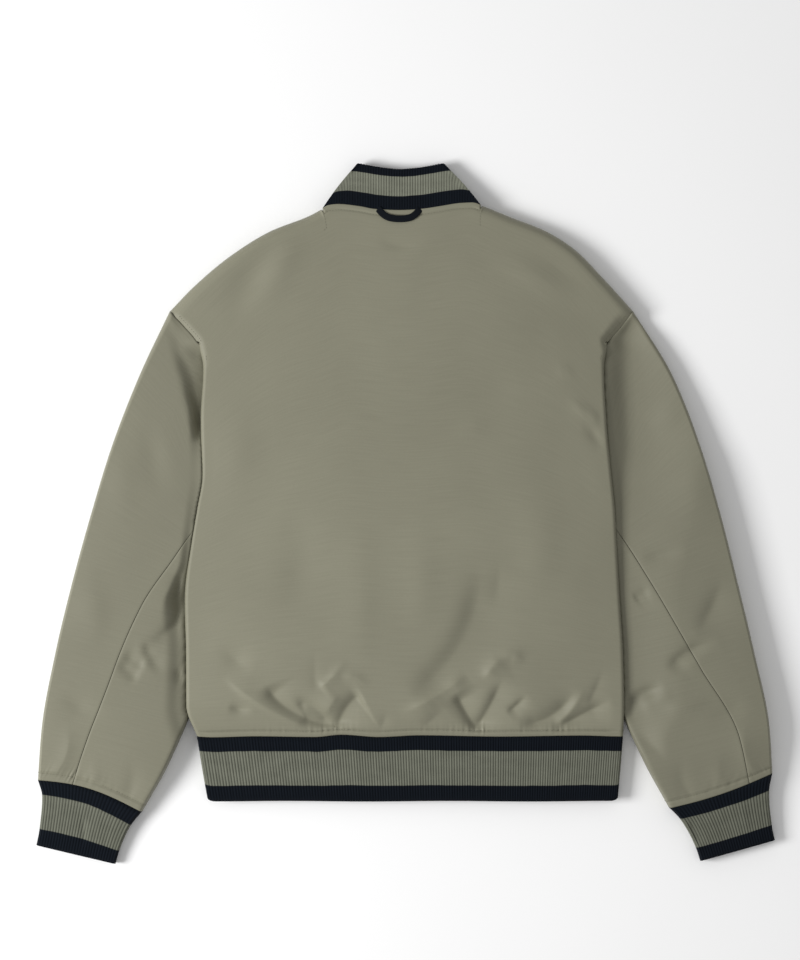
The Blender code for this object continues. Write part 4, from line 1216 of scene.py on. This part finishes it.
def hem_grid(left, back, right, shares):
    """The hem rib's outside, from the panels' lower edges down to its own edge."""
    rail = np.concatenate([left[0, ::-1], back[0, 1:-1], right[0]])
    run = run_along(rail)
    # The ribs are laid out along the rail: the phase grows by each step over the period there.
    fine = np.linspace(0, run[-1], HEM_FINE_STEPS)
    fine_x = np.interp(fine, run, rail[:, 0])
    period = np.interp(fine_x, HEM_RIB_PERIOD["x"], HEM_RIB_PERIOD["period"])
    phase = np.concatenate([[0], np.cumsum(np.diff(fine) / period[1:])])
    count = int(phase[-1])
    wanted = np.linspace(0, count, count * RIB_POINTS + 1)
    places = np.interp(wanted, phase * count / phase[-1], fine)
    rail = resample(rail, places)
    rail_x, rail_y, rail_z = rail[:, 0], rail[:, 1], rail[:, 2]
    shares = shares[:, None]
    along = (rail_x - SIDES["left"][0]) / (SIDES["right"][0] - SIDES["left"][0])
    x = blend(rail_x, blend(HEM_EDGE_LEFT_X, HEM_EDGE_RIGHT_X, along), shares)
    near_centre = 1 - ease(np.abs(rail_x), CLOSURE_HALF, CLOSURE_HALF + CLOSURE_RUNOUT)
    x = blend(x, rail_x, np.where(rail_z < HEM_FLAT_Z, near_centre, 0))
    thinner = HEM_FLAT_Z + (rail_z - HEM_FLAT_Z) * HEM_EDGE_FLATTENING
    z = np.where(rail_z > HEM_FLAT_Z, blend(rail_z, thinner, shares), rail_z)
    sway = HEM_EDGE_WAVE * np.sin(rail_x / HEM_EDGE_WAVE_LENGTH) * shares
    from_fold = np.minimum(rail_x - rail_x.min(), rail_x.max() - rail_x)
    corner = HEM_CORNER * (1 - quarter(from_fold, HEM_CORNER_WIDTH)) * shares**3
    y = blend(rail_y - HEM_GAP, HEM_EDGE_Y, shares) + sway + corner
    return np.stack([x, y, z + 0 * x], axis=-1), wanted


hem_shares = np.linspace(0, 1, HEM_ROW_COUNT)
hem, hem_phase = hem_grid(fronts[-1], back, fronts[1], hem_shares)
striped = rib_material("striped_rib", *BAND_STRIPES)
piece = ribbed("hem_rib_band", hem, hem_phase, hem_shares, striped, flipped=True)
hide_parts("hem_rib")

# ------------------------------------------------------------
# The cuffs: a tube of the same striped rib at each wrist, folded double. Each is sewn to its
# sleeve's gathered end, beside the sleeve's row of topstitching.
# ------------------------------------------------------------
CUFF_LEFT = table("share outer_x outer_y inner_x inner_y height", (
    (0, -429.4, -311.8, -307.7, -349.2, 20),
    (0.25, -424.7, -330.5, -321, -366, 18),
    (0.78, -428.2, -370.3, -334.6, -396, 15),
    (1, -431.7, -387.9, -338.7, -410, 13.5),
))
CUFF_RIGHT = table("share outer_x outer_y inner_x inner_y height", (
    (0, 429.4, -303.6, 308.9, -344.6, 20),
    (0.25, 425.9, -325.8, 322, -358.5, 18),
    (0.78, 429.4, -365.6, 340.5, -392.5, 15),
    (1, 432.9, -382, 345.2, -406.6, 13.5),
))
CUFF_CREASE_LEFT = table(CREASE_COLUMNS, (
    (-375.5, -350, -376, -366, -374, -386, -2.2, 3, 6, 0.4, 0.2),
    (-362, -345, -358, -362, -360, -380, 1.2, 6, 6, 0.5, 0.5),
))
CUFF_CREASE_RIGHT = table(CREASE_COLUMNS, (
    (331, -357, 338, -374, 345, -388, -2.2, 5, 3, 0.3, 0.3),
    (392, -336, 396, -356, 398, -374, 0.9, 7, 7, 0.5, 0.5),
))
CUFF_RIBS = 62          # all the way round
CUFF_ROW_COUNT = 16


def cuff_grid(rows, side, shares, ribs, marks):
    """A cuff's outside, all the way round from its inner edge."""
    ends = [rows["outer_x"] - rows["inner_x"], rows["outer_y"] - rows["inner_y"]]
    width = smooth(shares, rows["share"], np.hypot(*ends))[:, None]
    # Even steps round a flat loop with rounded edges: half of them lie on the upper side.
    half = ribs * RIB_POINTS // 2
    step = np.linspace(0, 1, half + 1)
    arc_in, arc_out = SLEEVE_INNER_ROLL * np.pi / 2, SLEEVE_ROLL * np.pi / 2
    length = width - SLEEVE_INNER_ROLL - SLEEVE_ROLL + arc_in + arc_out
    run = step * length
    to_end = (length - run) / SLEEVE_ROLL
    inner = SLEEVE_INNER_ROLL * (1 - np.cos(np.clip(run / SLEEVE_INNER_ROLL, 0, np.pi / 2)))
    outer = SLEEVE_ROLL * (1 - np.cos(np.clip(to_end, 0, np.pi / 2)))
    over = inner + np.clip(run - arc_in, 0, width - SLEEVE_INNER_ROLL - SLEEVE_ROLL)
    over = (over + SLEEVE_ROLL - outer) / width
    across = np.concatenate([over, over[:, -2:0:-1]], axis=1)
    upper = np.arange(across.shape[1]) < over.shape[1]
    phase = np.arange(across.shape[1]) / RIB_POINTS

    def relief(x, y):
        return creases(x, y, marks)

    shares = shares[:, None] + 0 * across
    return sleeve_point(rows, side, shares, across, upper, relief), phase


cuff_shares = np.linspace(0, 1, CUFF_ROW_COUNT)
# The cuffs' knit is the hem's knit painted darker: painted shade.
cuff_rib_painted_shade = rib_material("striped_cuff_rib_painted_shade", *BAND_STRIPES, painted_brightness=0.9)
for side, word in ((-1, "left"), (1, "right")):
    sections = CUFF_LEFT if side < 0 else CUFF_RIGHT
    marks = CUFF_CREASE_LEFT if side < 0 else CUFF_CREASE_RIGHT
    cuff, phase = cuff_grid(sections, side, cuff_shares, CUFF_RIBS, marks)
    piece = ribbed("cuff_band_" + word, cuff, phase, cuff_shares, cuff_rib_painted_shade,
                   flipped=side > 0, round_about=True)
    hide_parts("cuff_" + word)

# ------------------------------------------------------------
# The collar: one doubled band of striped rib, sewn to the neck seam from centre front to centre
# front. On the table it is pressed flat above the neck, with a fold at each side.
# ------------------------------------------------------------
COLLAR_STRIPES = 0.339, 0.818
COLLAR_LEFT_X = -55.5
COLLAR_RIGHT_X = 45.0
COLLAR_CORNER_Y = 409.2
COLLAR_DIP_Y = 401.8
COLLAR_FOLD_Y = 401.0
COLLAR_FRONT_Y = 313.0
COLLAR_FRONT_REACH = 56.0
COLLAR_END_GAP = 1.5
COLLAR_BULGE = 1.5
COLLAR_EDGE_Z = 15.0
COLLAR_SEAM_GAP = 0.4
COLLAR_TURNED = 0.9         # share of its full height at which the collar has turned onto the back
COLLAR_STEP = 0.62          # between its columns on the back, where its ribs slant
COLLAR_FRONT_STEP = 1.0
COLLAR_ROW_COUNT = 50
COLLAR_RIB_PERIOD = 3.05
COLLAR_BOW, COLLAR_BOW_REACH = 2.0, 16.0        # its side edges bow out between seam and corner
COLLAR_CORNER, COLLAR_CORNER_WIDTH = 1.8, 5.0   # its corners are rounded off
COLLAR_CALM, COLLAR_RIBBED = 4.0, 14.0      # its ribs are pulled flat where it folds over
COLLAR_DIP_SHAPE = 1.6      # how its top edge dips between the corners
COLLAR_RIB_LEAST = 0.1      # share of their depth that the ribs keep in the folds
COLLAR_RISING = 1.0         # height at which the neck seam has left the fronts for the back
COLLAR_SAG = 1.1            # its raised part hollows a little between seam and edge


def collar_edge(seam, count):
    """Where the collar's top edge lies above each point of its neck seam: count points a front."""
    x, z = seam[:, 0], seam[:, 2]
    front = np.linspace(0, np.pi / 2, count)
    front_x = COLLAR_END_GAP + (COLLAR_FRONT_REACH - COLLAR_END_GAP) * np.sin(front)
    front_y = blend(COLLAR_FRONT_Y, COLLAR_FOLD_Y, 1 - np.cos(front))
    over = slice(count, len(seam) - count)
    raised = z[over] / z[over].max()
    upper_x = x[over][raised > COLLAR_TURNED]
    across = np.clip((x[over] - upper_x[0]) / (upper_x[-1] - upper_x[0]), 0, 1)
    bulge = COLLAR_BULGE * np.sin(np.pi * np.clip(raised, 0, 1)) * np.sign(across - 0.5)
    over_x = blend(COLLAR_LEFT_X, COLLAR_RIGHT_X, across) + bulge
    dipped = np.abs(2 * across - 1) ** COLLAR_DIP_SHAPE
    over_y = COLLAR_DIP_Y + (COLLAR_CORNER_Y - COLLAR_DIP_Y) * dipped
    over_y = blend(COLLAR_FOLD_Y, over_y, quarter(raised, 1.0))
    edge_x = np.concatenate([COLLAR_LEFT_X / COLLAR_FRONT_REACH * front_x, over_x,
                             COLLAR_RIGHT_X / COLLAR_FRONT_REACH * front_x[::-1]])
    edge_y = np.concatenate([front_y, over_y, front_y[::-1]])
    edge_z = np.concatenate([0 * front_x, COLLAR_EDGE_Z * raised, 0 * front_x])
    return np.stack([edge_x, edge_y, edge_z], axis=-1)


def neck_line(front):
    """A front's neck seam, from the centre to the shoulder."""
    seam = front[-1, 1 - OVERLAP_COLUMNS - FRONT_NECK_COLUMNS:-OVERLAP_COLUMNS]
    return seam[::-1]


def collar_grid(left, back, right, shares):
    """The collar's outside: up from the neck seam of the fronts and the back to its top edge."""
    edge = back[-1]
    past = NECK_TURN * 1.1
    on_neck = (edge[:, 0] > NECK_LEFT_X - past) & (edge[:, 0] < NECK_RIGHT_X + past)
    from_left = evenly(neck_line(left), COLLAR_FRONT_STEP)
    from_right = evenly(neck_line(right)[::-1], COLLAR_FRONT_STEP)
    rising = edge[on_neck & (edge[:, 2] > COLLAR_RISING)]
    over = evenly(np.concatenate([from_left[-1:], rising, from_right[:1]]), COLLAR_STEP)[1:-1]
    from_left[0, 0], from_right[-1, 0] = -COLLAR_END_GAP, COLLAR_END_GAP
    count = len(from_left)
    from_right = resample_to(from_right, count)
    seam = np.concatenate([from_left, over, from_right])
    top = collar_edge(seam, count)
    first = COLLAR_SEAM_GAP / np.linalg.norm(top - seam, axis=-1)
    grid = blend(seam, top, blend(first[None, :, None], 1, shares[:, None, None]))
    raised = seam[:, 2] / seam[:, 2].max()
    grid[..., 2] -= COLLAR_SAG * raised * 4 * shares[:, None] * (1 - shares[:, None])
    run = run_along(seam)
    by_place = grid[..., 0] / COLLAR_RIB_PERIOD
    by_seam = run / COLLAR_RIB_PERIOD + 0 * shares[:, None]
    phase = np.where(raised > 0.5, by_place, by_seam)
    folds = run[np.flatnonzero(raised > COLLAR_TURNED)[[0, -1]]]
    from_fold = np.abs(run[:, None] - folds).min(axis=1)
    near_fold = 1 - ease(from_fold, 0, COLLAR_BOW_REACH)
    outward = np.sign(run - run[-1] / 2)
    grid[..., 0] += COLLAR_BOW * near_fold * outward * np.sin(np.pi * shares[:, None])
    rounded = 1 - quarter(from_fold, COLLAR_CORNER_WIDTH)
    grid[..., 1] -= COLLAR_CORNER * rounded * shares[:, None] ** 4
    ribbing = ease(from_fold, COLLAR_CALM, COLLAR_RIBBED)
    return grid, phase, RIB_DEPTH * (COLLAR_RIB_LEAST + (1 - COLLAR_RIB_LEAST) * ribbing)


collar_shares = np.linspace(0, 1, COLLAR_ROW_COUNT)
collar, collar_phase, collar_depth = collar_grid(fronts[-1], back, fronts[1], collar_shares)
# The collar's knit is the hem's knit painted lighter: painted light.
collar_rib_painted_light = rib_material("striped_collar_rib_painted_light", *COLLAR_STRIPES, painted_brightness=1.22)
piece = ribbed("collar_band", collar, collar_phase, collar_shares, collar_rib_painted_light,
               depth=collar_depth)
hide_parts("collar_rib")

# ------------------------------------------------------------
# The hanger loop: a narrow woven tape, dyed navy and folded along its length. Both of its ends
# are caught in the back neck seam, and it lies on the back below the collar.
# ------------------------------------------------------------
LOOP_PATH = table("x y lift", (
    (-35.5, 359, -7),
    (-30.8, 354.4, -0.6),
    (-25.6, 348.4, 0.8),
    (-17.7, 344.2, 1.4),
    (-6.6, 343, 1.5),
    (4.2, 344, 1.3),
    (11.6, 348.2, 0.8),
    (16.8, 354.4, -0.6),
    (20.5, 359, -7),
))
LOOP_TAPE_WIDTH = 8.0
LOOP_TAPE_WALL = 1.5
LOOP_SQUARE = 0.55, 0.75    # how square its section is across and up: 1 is round
LOOP_STEPS = 72
LOOP_ROUND = 28
LOOP_SMOOTHING = 9          # steps in the running mean that draws the path smooth

navy_tape = woven("navy_tape", (0.0030, 0.0042, 0.0062), (0.0065, 0.0085, 0.0115), roughness=0.8,
                  gloss_range=0.1, slubs=0.6, unevenness=0.2, relief=0.0002, sheen=0.0,
                  specular=0.08)
loop_places = np.linspace(0, 1, len(LOOP_PATH["x"]))
loop_t = np.linspace(0, 1, LOOP_STEPS)
loop_x, loop_y = (smooth(loop_t, loop_places, LOOP_PATH[name]) for name in ("x", "y"))
# The path is drawn smooth by a short running mean, with its ends kept.
kernel = np.ones(LOOP_SMOOTHING) / LOOP_SMOOTHING
padded_x, padded_y = (
    np.pad(line, LOOP_SMOOTHING // 2, mode="reflect", reflect_type="odd")
    for line in (loop_x, loop_y)
)
loop_x, loop_y = np.convolve(padded_x, kernel, "valid"), np.convolve(padded_y, kernel, "valid")
loop_along = np.stack([np.gradient(loop_x), np.gradient(loop_y)], axis=-1)
loop_along /= np.linalg.norm(loop_along, axis=-1, keepdims=True)
loop_out = np.stack([-loop_along[:, 1], loop_along[:, 0]], axis=-1)
turn = np.linspace(0, 2 * np.pi, LOOP_ROUND, endpoint=False)
flat_wide = np.sign(np.cos(turn)) * np.abs(np.cos(turn)) ** LOOP_SQUARE[0] * LOOP_TAPE_WIDTH / 2
flat_high = np.sign(np.sin(turn)) * np.abs(np.sin(turn)) ** LOOP_SQUARE[1] * LOOP_TAPE_WALL / 2
ring_x = loop_x[:, None] + loop_out[:, :1] * flat_wide
ring_y = loop_y[:, None] + loop_out[:, 1:] * flat_wide
loop_across = (ring_x - side_x(ring_y, -1)) / (side_x(ring_y, 1) - side_x(ring_y, -1))
loop_lift = smooth(loop_t, loop_places, LOOP_PATH["lift"])[:, None]
ring_z = body_height(loop_across, ring_y) + loop_lift + LOOP_TAPE_WALL / 2 + flat_high
loop = np.stack([ring_x, ring_y, ring_z], axis=-1)


def tube(name, rings, material):
    """A closed piece from rings of points, with both ends filled."""
    count, sides = rings.shape[:2]
    faces = quads(count, sides, True).tolist()
    faces += [list(range(sides))[::-1], list(range((count - 1) * sides, count * sides))]
    mesh = bpy.data.meshes.new(name)
    mesh.from_pydata((rings.reshape(-1, 3) * MM).tolist(), [], faces)
    mesh.update()
    whole = bmesh.new()
    whole.from_mesh(mesh)
    bmesh.ops.recalc_face_normals(whole, faces=whole.faces)
    whole.to_mesh(mesh)
    whole.free()
    mesh.shade_smooth()
    mesh.materials.append(material)
    uv = mesh.uv_layers.new(name="weave")
    lay = lay_out(rings).reshape(-1, 2) * MM
    for part in mesh.loops:
        uv.data[part.index].uv = lay[part.vertex_index]
    piece = placed(name, mesh)
    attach(piece, "root")
    return piece


piece = tube("hanger_tape", loop, navy_tape)
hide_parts("hanger_loop")

# ------------------------------------------------------------
# The press studs that close the fronts: six brass caps on the outside, each riveted through the
# cloth to its socket. They face the table and are snapped shut.
# ------------------------------------------------------------
STUD_ROUND = 40
CAP_PROFILE = table("radius z", (
    (0, 0.12),
    (3.2, 0.05),
    (5.2, 0),
    (6.7, 0.12),
    (7.3, 0.38),
    (7.5, 0.62),
    (7.3, 0.86),
    (6.7, 1),
    (0, 1),
))
BACK_PROFILE = table("radius z", (
    (0, 0),
    (5, 0),
    (5.4, 0.2),
    (5.5, 0.5),
    (5.2, 0.85),
    (4.4, 1.15),
    (3.4, 1.2),
    (2.9, 0.9),
    (1.8, 0.85),
    (0, 0.85),
))


def metal(name, base, dull, roughness):
    """Plated metal, a little tarnished and rubbed, in the piece's own coordinates."""
    material, tree, shader = dressed(name, {"Metallic": 1.0})
    place = tree.nodes.new("ShaderNodeTexCoord")
    worn = tree.nodes.new("ShaderNodeTexNoise")
    worn.inputs["Scale"].default_value = 260.0
    worn.inputs["Detail"].default_value = 4.0
    tree.links.new(place.outputs["Object"], worn.inputs["Vector"])
    tree.links.new(mixed(tree, worn.outputs["Fac"], base, dull), shader.inputs["Base Color"])
    rough = maths(tree, "MULTIPLY", worn.outputs["Fac"], 0.3)
    tree.links.new(maths(tree, "ADD", rough, roughness - 0.15), shader.inputs["Roughness"])
    return material


stud_metal = metal("stud_metal", (0.36, 0.34, 0.30), (0.22, 0.21, 0.19), 0.34)
around = np.linspace(0, 2 * np.pi, STUD_ROUND, endpoint=False)
for number in range(1, 7):
    for kind, profile in (("cap", CAP_PROFILE), ("back", BACK_PROFILE)):
        node = f"stud_{kind}_{number}"
        low, high = (np.array(corner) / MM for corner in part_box(node))
        middle = (low + high) / 2
        radius = profile["radius"][1:-1, None]
        rings = np.stack(np.broadcast_arrays(
            middle[0] + radius * np.cos(around),
            middle[1] + radius * np.sin(around),
            low[2] + profile["z"][1:-1, None] + 0 * around,
        ), axis=-1)
        piece = tube(f"press_stud_{kind}_{number}", rings, stud_metal)
        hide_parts(node)

# ------------------------------------------------------------
# The topstitching: one row of thread beside the hem seam, the neck seam, the cuffs and
# the armholes, and down the edges of the fronts. The thread matches the cloth but is painted
# darker, as painted shade of the furrows it lies in. Each stitch is a short arc that dips at its
# ends.
# ------------------------------------------------------------
STITCH_LENGTH = 2.5
STITCH_PITCH = 3.4
THREAD_RADIUS = 0.24
STITCH_RISE = 0.22
STITCH_SEAT = 0.12          # how far the thread sinks into the cloth
STITCH_LIFT = 0.1
ON_TOP = STITCH_LIFT - STITCH_SEAT  # how high a row lies where the cloth's outside faces up,
UNDERNEATH = STITCH_SEAT    # where it faces the table,
ROUND_EDGE = 0.0            # and where the row runs round from one to the other
SEAM_CLEAR = 1.2            # a cuff's row stops this far from the sleeve's long seams
ARMHOLE_STITCH_TOP_Y = 231.0
FRONT_EDGE_COLUMNS = 12     # columns in which a front's edge row is looked for
NECK_ROW_IN = 2.0           # the neck's row stops this far inside the seam's ends
FRONT_ROW_UP = 8.0          # a front's edge row starts this far above the hem seam


def line_at(grid, measure, value, picked=None):
    """The line across a grid where the measure, which grows along its rows, has the given value."""
    points = []
    for column in range(grid.shape[1]) if picked is None else picked:
        way = measure[:, column]
        if way.min() <= value <= way.max():
            order = np.argsort(way)
            points.append([np.interp(value, way[order], grid[order, column, c]) for c in range(3)])
    return np.array(points)


def stitch_tree():
    """Geometry nodes that set stitches along the edges of a mesh of lines."""
    tree = bpy.data.node_groups.new("stitches_along_line", "GeometryNodeTree")
    tree.interface.new_socket("Lines", in_out="INPUT", socket_type="NodeSocketGeometry")
    for label, value in (("Pitch", STITCH_PITCH), ("Length", STITCH_LENGTH),
                         ("Rise", STITCH_RISE), ("Radius", THREAD_RADIUS)):
        size = tree.interface.new_socket(label, in_out="INPUT", socket_type="NodeSocketFloat")
        size.default_value = value * MM
    tree.interface.new_socket("Thread", in_out="INPUT", socket_type="NodeSocketMaterial")
    tree.interface.new_socket("Stitches", in_out="OUTPUT", socket_type="NodeSocketGeometry")
    start, end = tree.nodes.new("NodeGroupInput"), tree.nodes.new("NodeGroupOutput")
    lines = tree.nodes.new("GeometryNodeMeshToCurve")
    steps = tree.nodes.new("GeometryNodeResampleCurve")
    steps.mode = "LENGTH"
    tangent = tree.nodes.new("GeometryNodeInputTangent")
    turn = tree.nodes.new("FunctionNodeAlignRotationToVector")
    turn.axis = "X"
    place = tree.nodes.new("GeometryNodeInstanceOnPoints")
    arc = tree.nodes.new("GeometryNodeCurveQuadraticBezier")
    arc.inputs["Resolution"].default_value = 4
    ends = [tree.nodes.new("ShaderNodeCombineXYZ") for _ in range(3)]
    half = maths(tree, "MULTIPLY", start.outputs["Length"], 0.5)
    tree.links.new(maths(tree, "MULTIPLY", half, -1.0), ends[0].inputs["X"])
    tree.links.new(half, ends[2].inputs["X"])
    tree.links.new(maths(tree, "MULTIPLY", start.outputs["Rise"], 2.0), ends[1].inputs["Z"])
    down = maths(tree, "MULTIPLY", start.outputs["Rise"], -1.0)
    for node in (ends[0], ends[2]):
        tree.links.new(down, node.inputs["Z"])
    for node, socket in zip(ends, ("Start", "Middle", "End")):
        tree.links.new(node.outputs[0], arc.inputs[socket])
    ring = tree.nodes.new("GeometryNodeCurvePrimitiveCircle")
    ring.inputs["Resolution"].default_value = 6
    tree.links.new(start.outputs["Radius"], ring.inputs["Radius"])
    thread = tree.nodes.new("GeometryNodeCurveToMesh")
    thread.inputs["Fill Caps"].default_value = True
    whole = tree.nodes.new("GeometryNodeRealizeInstances")
    dress = tree.nodes.new("GeometryNodeSetMaterial")
    for source, output, target, socket in (
        (start, "Lines", lines, "Mesh"), (lines, "Curve", steps, "Curve"),
        (start, "Pitch", steps, "Length"), (steps, "Curve", place, "Points"),
        (tangent, "Tangent", turn, "Vector"), (turn, "Rotation", place, "Rotation"),
        (arc, "Curve", thread, "Curve"), (ring, "Curve", thread, "Profile Curve"),
        (thread, "Mesh", place, "Instance"), (place, "Instances", whole, "Geometry"),
        (whole, "Geometry", dress, "Geometry"), (start, "Thread", dress, "Material"),
        (dress, "Geometry", end, "Stitches"),
    ):
        tree.links.new(source.outputs[output], target.inputs[socket])
    return tree


# The thread's colour is darker than the twill's: painted shade of the stitch furrows.
thread = woven("thread", (0.13, 0.125, 0.090), (0.20, 0.193, 0.142), roughness=0.6, gloss_range=0.1,
               slubs=0.3, unevenness=0.3, relief=0.00005, sheen=0.1)
stitch_nodes = stitch_tree()


def stitches(name, line, lift=ON_TOP):
    """A row of stitches along a line on the cloth."""
    line = line + np.array([0, 0, lift])
    mesh = bpy.data.meshes.new(name + "_line")
    pairs = [(k, k + 1) for k in range(len(line) - 1)]
    mesh.from_pydata((line * MM).tolist(), pairs, [])
    holder = placed(name + "_line", mesh)
    maker = holder.modifiers.new("stitches", "NODES")
    maker.node_group = stitch_nodes
    for item in stitch_nodes.interface.items_tree:
        if item.in_out == "INPUT" and item.name == "Thread":
            maker[item.identifier] = thread
    ready = holder.evaluated_get(bpy.context.evaluated_depsgraph_get())
    made = bpy.data.meshes.new_from_object(ready)
    made.name = name
    holder.modifiers.remove(maker)
    bpy.data.objects.remove(holder)
    made.shade_smooth()
    uv = made.uv_layers.new(name="weave")
    places = np.empty(len(made.vertices) * 3)
    made.vertices.foreach_get("co", places)
    corner = np.empty(len(made.loops), int)
    made.loops.foreach_get("vertex_index", corner)
    uv.data.foreach_set("uv", places.reshape(-1, 3)[corner, :2].reshape(-1))
    piece = placed(name, made)
    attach(piece, "root")
    return piece


back_above = back[..., 1] - HEM_SEAM_Y - waved(back[..., 1])
stitches("stitches_hem_back", line_at(back, back_above, STITCH_IN))
below_edge = back[-1, :, 1] - back[..., 1]
edge_x = back[-1, :, 0]
past_left, past_right = edge_x > NECK_LEFT_X + NECK_ROW_IN, edge_x < NECK_RIGHT_X - NECK_ROW_IN
on_neck = np.flatnonzero(past_left & past_right)
stitches("stitches_neck", line_at(back, below_edge, STITCH_IN, on_neck))
side_y = back[:, BACK_STRIP, 1]
open_rows = np.flatnonzero((side_y > ROLL_LOW_Y) & (side_y < ARMHOLE_STITCH_TOP_Y))
middle_column = back.shape[1] // 2
for side, word in ((-1, "left"), (1, "right")):
    inward = (np.abs(side_x(back[..., 1], side)) - np.abs(back[..., 0])).T
    half = slice(0, middle_column) if side < 0 else slice(middle_column, None)
    half_back = back.transpose(1, 0, 2)[half]
    stitches("stitches_armhole_" + word,
             line_at(half_back, inward[half], ARMHOLE_STITCH_IN, open_rows))
    front = fronts[side]
    front_above = front[..., 1] - HEM_SEAM_Y
    stitches("stitches_hem_front_" + word, line_at(front, front_above, STITCH_IN), UNDERNEATH)
    edge_away = np.abs(front[..., 0] + side * FRONT_OVERLAP).T
    edge_rows = np.flatnonzero(front[:, -1, 1] > HEM_SEAM_Y + FRONT_ROW_UP)
    near_edge = slice(front.shape[1] - FRONT_EDGE_COLUMNS, None)
    front_edge = front.transpose(1, 0, 2)[near_edge]
    stitches("stitches_front_edge_" + word,
             line_at(front_edge, edge_away[near_edge], FRONT_STITCH_IN, edge_rows), UNDERNEATH)

for name, (grid, from_cuff, seam_away) in sleeve_halves.items():
    clear_of_seam = np.flatnonzero(seam_away[-1] > SEAM_CLEAR)
    runs = np.split(clear_of_seam, np.flatnonzero(np.diff(clear_of_seam) > 1) + 1)
    line = line_at(grid[::-1], from_cuff[::-1], CUFF_STITCH_IN, max(runs, key=len))
    stitches("stitches_cuff_" + name, line, ROUND_EDGE)
